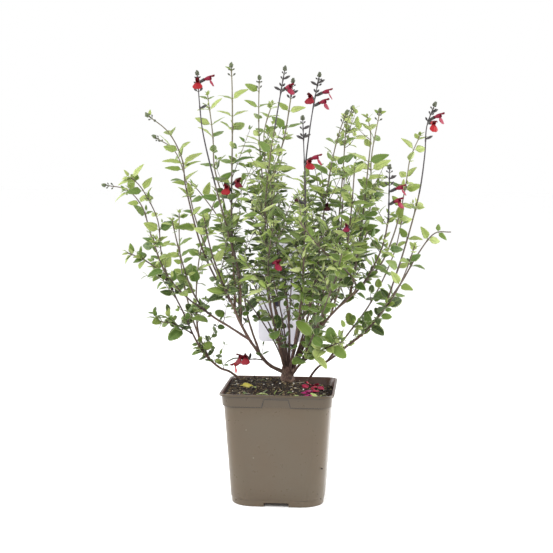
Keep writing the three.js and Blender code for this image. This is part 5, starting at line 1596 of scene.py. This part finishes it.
def potMaterial():
    # injection-moulded recycled polypropylene: an even taupe with a satin skin, muddy and dusty in use
    material, tree = newMaterial("recycled polypropylene, moulded, satin")
    place = placeOf(tree)
    colour = mixed(tree, fade(tree, speckle(tree, 60, Detail=3), 0.4, 0.65), "#514433", "#514636")
    axes = addNode(tree, "ShaderNodeSeparateXYZ", None, {0: place})
    height = axes.outputs["Z"]
    colour = mixed(tree, fade(tree, height, 149 * mm, 152 * mm, 0.9), colour, "#453929")  # the collar, darker: painted shade
    # painted shade: dark lines in the creases under the lip and the collar and round the recesses
    colour = mixed(tree, paintedCreaseShade(tree, axes, height), colour, "#17120d")
    # dried mud keeps to the foot
    mud = speckle(tree, 7, Detail=6, Roughness=0.7)
    reach = maths(tree, "ADD", mud, fade(tree, height, 22 * mm, 2 * mm, 0.22))
    colour = mixed(tree, fade(tree, reach, 0.7, 0.8, 0.55), colour, "#5d4b3b")
    # a few pale specks
    dust = addNode(tree, "ShaderNodeTexVoronoi", {"Scale": 1 / (11 * mm)}, {"Vector": place})
    pick = addNode(tree, "ShaderNodeSeparateColor", None, {0: dust.outputs["Color"]}).outputs[0]
    speck = fade(tree, dust.outputs["Distance"], 0.1, 0.06, 0.5)
    spots = maths(tree, "MULTIPLY", speck, fade(tree, pick, 0.95, 0.96))
    colour = mixed(tree, spots, colour, "#a59c8b")
    # the wall that faces inwards is stained by wet peat
    flat = addNode(tree, "ShaderNodeVectorMath", {"operation": "MULTIPLY", 1: (1, 1, 0)}, {0: place})
    normal = addNode(tree, "ShaderNodeNewGeometry").outputs["Normal"]
    outward = addNode(tree, "ShaderNodeVectorMath", {"operation": "DOT_PRODUCT"},
                      {0: flat.outputs[0], 1: normal})
    inside = fade(tree, outward.outputs["Value"], 0, -0.01)
    colour = mixed(tree, inside, colour, mixed(tree, mud, "#3d2c25", "#6b4d43"))
    finish(tree, skinOf(tree, {"IOR": 1.49}, colour, Roughness=fade(tree, mud, 0.35, 0.75, 0.4, 0.27),
                        Normal=bumped(tree, speckle(tree, 0.8, Detail=2), 0.12, 0.1)))
    return material


# ---- the peat ----
peat = {
    "level": 162, "mound": {"x": 6, "y": 30, "height": 10, "radius": 52},
    "sides": [(66.8, 31, 8.8), (76.2, 16.5, 147)],  # half width, corner and height of the rings below
    "half": 79.3, "rings": 56, "lumps": 2.4,  # height of the uneven surface
    "straight half": 62, "corner": 14.5,  # the part that crumbs lie on
    "crumbs": 1500, "fibres": 230, "chips": 110, "perlite": 30,
    # crumbs that stick to the pot: x, z, size
    "on the wall": [(67.3, 59, 1.5), (52.8, 79.5, 0.7), (66, 13, 1.3), (-60, 9, 1.1), (61, 21, 0.8)],
}


def peatHeight(x, y):
    mound = peat["mound"]
    away = ((x - mound["x"]) ** 2 + (y - mound["y"]) ** 2) / mound["radius"] ** 2
    slope = -0.055 * x - 0.03 * y * (1 if x > 0 else -0.6)
    lumps = noise.fractal(Vector((x / 11, y / 11, 3.0)), 0.7, 2.1, 5) * peat["lumps"]
    return peat["level"] + mound["height"] * math.exp(-away) + slope + lumps


def peatSpot(seed):  # a place on the surface, inside the wall
    flat, corner = peat["straight half"], peat["corner"]
    while True:
        x, y = 160 * (chance(seed) - 0.5), 160 * (chance(seed + 0.31) - 0.5)
        if math.hypot(max(abs(x) - flat, 0), max(abs(y) - flat, 0)) < corner:
            return x, y, peatHeight(x, y)
        seed += 7.77


icosahedron = [
    (0, -1, -1.618), (0, 1, -1.618), (0, -1, 1.618), (0, 1, 1.618), (-1, -1.618, 0), (-1, 1.618, 0),
    (1, -1.618, 0), (1, 1.618, 0), (-1.618, 0, -1), (1.618, 0, -1), (-1.618, 0, 1), (1.618, 0, 1)]


def icosahedronFaces():
    points = np.array(icosahedron)
    faces = []
    for a in range(12):
        for b in range(a + 1, 12):
            for c in range(b + 1, 12):
                if all(np.linalg.norm(points[i] - points[j]) < 2.1 for i, j in ((a, b), (b, c), (a, c))):
                    outward = np.dot(np.cross(points[b] - points[a], points[c] - points[a]), points[a]) > 0
                    faces.append((a, b, c) if outward else (a, c, b))
    return faces


lumpFaces = icosahedronFaces()


def addLump(heap, centre, size, seed, tint):  # a broken, angular crumb
    points = np.array(icosahedron) / 1.9
    points = points * np.array([[0.7 + 0.6 * chance(seed + k * 0.37)] for k in range(12)])
    axes = Matrix.Rotation(tau * chance(seed), 3, (chance(seed + 1) - 0.5, chance(seed + 2) - 0.5, 0.4))
    points = (points * size) @ np.array(axes)
    heap.add(points + centre, np.zeros((0, 4)), lumpFaces, tint=tint)


def buildPeat():
    surface, litter = Heap(), Heap()
    runs = tuple(np.linspace(0, 1, 24)[1:-1])
    rows = [squareRing(half, corner, z, 16, runs) for half, corner, z in peat["sides"]]
    for ring in range(peat["rings"]):
        half = peat["half"] * (1 - ring / peat["rings"])
        line = squareRing(half, min(15.5 + half * 0.02, half), 0, 16, runs)
        rows.append([(x, y, peatHeight(x, y)) for x, y, _ in line])
    addRings(surface, np.array(rows), tint=0.28)
    material = peatMaterial()
    makePiece("peat", surface, material, ["soil"])
    for k in range(peat["crumbs"]):
        x, y, z = peatSpot(k * 1.7 + 0.3)
        size = 0.5 + 1.9 * chance(k + 0.5) ** 3
        shape = (size, size * 0.9, size * 0.7)
        addLump(litter, (x, y, z + size * 0.25), shape, k, 0.1 + 0.75 * chance(k + 0.7))
    for k in range(peat["chips"]):  # flat bits of bark
        x, y, z = peatSpot(k * 2.3 + 90)
        size = 1.6 + 2.6 * chance(k + 0.2)
        addLump(litter, (x, y, z + 0.5), (size, size * 0.45, 0.5), k + 40, 0.45 + 0.4 * chance(k + 0.9))
    for k in range(peat["perlite"]):
        x, y, z = peatSpot(k * 3.1 + 12)
        size = 0.7 + 0.8 * chance(k + 0.4)
        addLump(litter, (x, y, z + size * 0.4), (size, size, size), k + 80, 1.0)
    steps = np.linspace(0, 1, 5)[:, None]
    for k in range(peat["fibres"]):
        x, y, z = peatSpot(k * 1.3 + 55)
        way = towards(360 * chance(k + 0.6), 0.25 * (chance(k + 0.8) - 0.3))
        length = 4 + 11 * chance(k + 0.1)
        bend = np.array([chance(k) - 0.5, chance(k + 3) - 0.5, 0.25]) * length * 0.5
        line = np.array([x, y, z + 1.0]) + way * length * steps + bend * steps * (1 - steps)
        if np.abs(line[:, :2]).max() < 75:
            addTube(litter, line, directionsOf(line), [0.3] * 4 + [0.15], 4, np.array([0.2, 0.1, 1.0]),
                    tint=0.55 + 0.35 * chance(k + 0.33))
    for x, z, size in peat["on the wall"]:
        y = -bodyHalf(z) + 0.9 * max(abs(x) - 45, 0) ** 2 / 60
        addLump(litter, (x, y, z), (size, size * 0.6, size), x, 0.2)
    makePiece("peat_litter", litter, material)


def peatMaterial():
    # damp peat with bark and roots in it: nearly black where wet, tan fibres, a few white grains
    material, tree = newMaterial("peat compost, damp, crumbly")
    grain = speckle(tree, 2.2, Detail=6, Roughness=0.75)
    shade = maths(tree, "MULTIPLY_ADD", maths(tree, "SUBTRACT", grain, 0.5), 0.9, mark(tree, "tint"))
    colour = colourRamp(tree, shade, [
        (0.0, "#0c0807"), (0.3, "#1f1612"), (0.6, "#413024"), (0.85, "#8a7a56"), (0.98, "#e6e2da")])
    finish(tree, skinOf(tree, {"Roughness": 0.88, "Specular IOR Level": 0.35}, colour,
                        Normal=bumped(tree, grain, 0.9, 0.7)))
    return material


# ---- the label ----
label = {
    "width": 70, "height": 164, "thickness": 1, "corner": 8, "lean": 85, "place": (-5, 64, 228),
    "stake": {"width": 12, "length": 108, "point": 10, "aside": 14},
    "edge": 0.18,
    "marks": [  # left, foot, width, height and how dark
        (-27, 128, 40, 2.2, 0.35), (-27, 122, 30, 2.2, 0.35), (-27, 108, 54, 1.1, 0.35),
        (-27, 104, 50, 1.1, 0.35), (-27, 100, 46, 1.1, 0.35), (-10, 55, 9, 9, 0.9)],
}


def stoodUp(points):  # from the label's own flat drawing to its place behind the stems
    lean = math.radians(label["lean"])
    x, up, out = np.asarray(points, float).T
    stood = [x, up * math.cos(lean) - out * math.sin(lean), up * math.sin(lean) + out * math.cos(lean)]
    return np.stack(stood, 1) + np.array(label["place"])


def labelOutline():
    half, tall, corner, stake = label["width"] / 2, label["height"], label["corner"], label["stake"]
    aside, wide, shoulder = stake["aside"], stake["width"] / 2, stake["point"] - stake["length"]
    edge = [(aside, -stake["length"]), (aside + wide, shoulder), (aside + wide, 0)]
    for cx, cy, start in ((half - corner, corner, -1), (half - corner, tall - corner, 0),
                          (-half + corner, tall - corner, 1), (-half + corner, corner, 2)):
        for k in range(9):
            angle = (start + k / 8) * tau / 4
            edge.append((cx + corner * math.cos(angle), cy + corner * math.sin(angle)))
    edge += [(aside - wide, 0), (aside - wide, shoulder)]
    return np.array(edge)


def buildLabel():
    line = labelOutline()
    along = unit(np.roll(line, -1, 0) - np.roll(line, 1, 0))
    edge, half = label["edge"], label["thickness"] / 2
    inward = np.stack([-along[:, 1], along[:, 0]], 1) * edge
    sections = ((1, -half), (0.3, 0.3 * edge - half), (0, edge - half),
                (0, half - edge), (0.3, half - 0.3 * edge), (1, half))
    rings = [np.column_stack([line + inward * shift, np.full(len(line), out)]) for shift, out in sections]
    plate, inks = Heap(), Heap()
    addRings(plate, np.array([stoodUp(ring) for ring in rings]))
    makePiece("label_plate", plate, labelMaterial("label polypropylene, white, satin", "#f6f5fa", 0.38),
              ["label"], sharpAngle=40)
    for x, y, width, tall, depth in label["marks"]:
        corners = [(x + a * width, y + b * tall, out) for out in (half, half + 0.06)
                   for b in (0, 1) for a in (0, 1)]
        inks.add(stoodUp(corners), boxFaces, [], tint=depth)
    makePiece("label_marks", inks, labelMaterial("printing ink, slate, matt", "#4b495f", 0.6),
              sharpAngle=30)


def labelMaterial(name, colour, roughness):
    # a die-cut sheet of white polypropylene, faintly blue, which lets some light through, and flat ink on it
    material, tree = newMaterial(name)
    shade = fade(tree, speckle(tree, 25, Detail=4), 0.4, 0.7, 0.25)
    tone = mixed(tree, shade, colour, "#dedbe6", "MULTIPLY")
    finish(tree, thinSkin(tree, skinOf(tree, {"Roughness": roughness, "IOR": 1.49}, tone), tone, 0.45))
    return material


# ---- what lies on the peat ----
fallen = {
    "petals": [((46, 22, 167), 20, 0.1), ((44, 26, 167.5), 110, 0.0), ((43, 16, 167), 215, 0.2),
               ((47, 12, 166.5), 300, 0.1), ((40, -16, 165.5), 330, 1.0), ((50, -24, 164.5), 200, 0.9),
               ((33, -30, 165), 20, 1.0), ((45, -40, 164), 300, 1.0), ((58, 4, 165), 60, 0.3),
               ((60, -14, 164.5), 150, 0.2), ((54, -46, 164), 250, 0.9), ((38, -52, 164), 40, 1.0)],
    "leaf": {"place": (-61, -2, 169), "compass": 10, "length": 23},
    "green": [((-30, -68, 168), (0.93, -0.05, 0.35), 17), ((-22, -72, 169), (0.5, 0.1, 0.5), 12),
              ((-3, -70, 168), (0.15, 0.0, 0.98), 9), ((3, -71, 168), (0.6, -0.1, 0.75), 9),
              ((61, -62, 163), (-0.8, 0.1, 0.6), 14), ((68, -40, 163), (-0.3, -0.8, 0.4), 12),
              ((-52, -52, 166), (0.6, 0.5, 0.15), 10), ((-35, -20, 169), (-0.5, 0.6, 0.2), 9),
              ((14, -46, 167), (0.7, 0.3, 0.15), 9), ((-24, 34, 171), (-0.8, 0.1, 0.15), 10),
              ((-46, 42, 168), (0.3, -0.8, 0.15), 9), ((24, -62, 166), (0.9, -0.2, 0.2), 9),
              ((-60, 20, 167), (0.5, -0.3, 0.3), 9), ((2, 60, 169), (-0.9, 0.0, 0.3), 11)],
}


def buildFallen():
    petals, yellow, green = Heap(), Heap(), Heap()
    size = dict(petal["lip"], length=12.5, width=11, cup=0.15, arch=0.05)
    for k, (place, compass, tint) in enumerate(fallen["petals"]):
        way = towards(compass, 0.12)
        addPetal(petals, lipGrid, np.array(place, float), way, facing(way, (chance(k) - 0.5) * 1.2),
                 size, tint, crumple=0.13, seed=k)
    bruised = petalMaterial("fallen salvia petal, bruised", [(0.0, "#a3122f"), (1.0, "#a02468")], "#5c0c2a")
    makePiece("petals_fallen", petals, bruised, ["fallen_petals"])
    leaf = fallen["leaf"]
    way = towards(leaf["compass"], 0.05)
    lying = leafOf(np.array(leaf["place"]), way, facing(way, 0.25), leaf["length"], 1.0, 5.3, width=14)
    up = np.array([0, 0, 1.0])
    second = leafOf(np.array((-47.0, 18.0, 168)), towards(200, 0.2), up, 12, 1.0, 9.3, width=8)
    growBlades(yellow, largeLeaf, [lying, second])
    makePiece("leaf_fallen", yellow, deadLeafMaterial(), ["fallen_leaf"])
    sprouts = []
    for k, (place, way, length) in enumerate(fallen["green"]):
        way = unit(np.array(way))
        normal = facing(way, 0.8 * (chance(k + 0.2) - 0.5))
        sprouts.append(leafOf(np.array(place, float), way, normal, length, 0.55, k + 0.4))
    growBlades(green, largeLeaf, sprouts)
    makePiece("leaves_dropped", green, leafSkin)


def deadLeafMaterial():
    # a leaf that has turned: waxy yellow, browning at the margin
    material, tree = newMaterial("dropped leaf, yellow, waxy")
    across = maths(tree, "ABSOLUTE", mark(tree, "across"))
    cloud = speckle(tree, 5, Detail=4)
    colour = mixed(tree, cloud, "#c9bd4e", "#a9a03c")
    brown = fade(tree, maths(tree, "MULTIPLY_ADD", cloud, 0.6, across), 1.1, 1.35, 0.8)
    rib = fade(tree, across, 0.09, 0.02, 0.6)
    colour = mixed(tree, rib, mixed(tree, brown, colour, "#7a5a30"), "#dcd48a")
    finish(tree, skinOf(tree, {"Roughness": 0.5}, colour))
    return material


blooms = findBlooms()
takeRoom()
leafSkin = growPlant()
print("plant grown")
buildPot()
buildPeat()
buildLabel()
buildFallen()
print("pot, peat, label and fallen bits made")
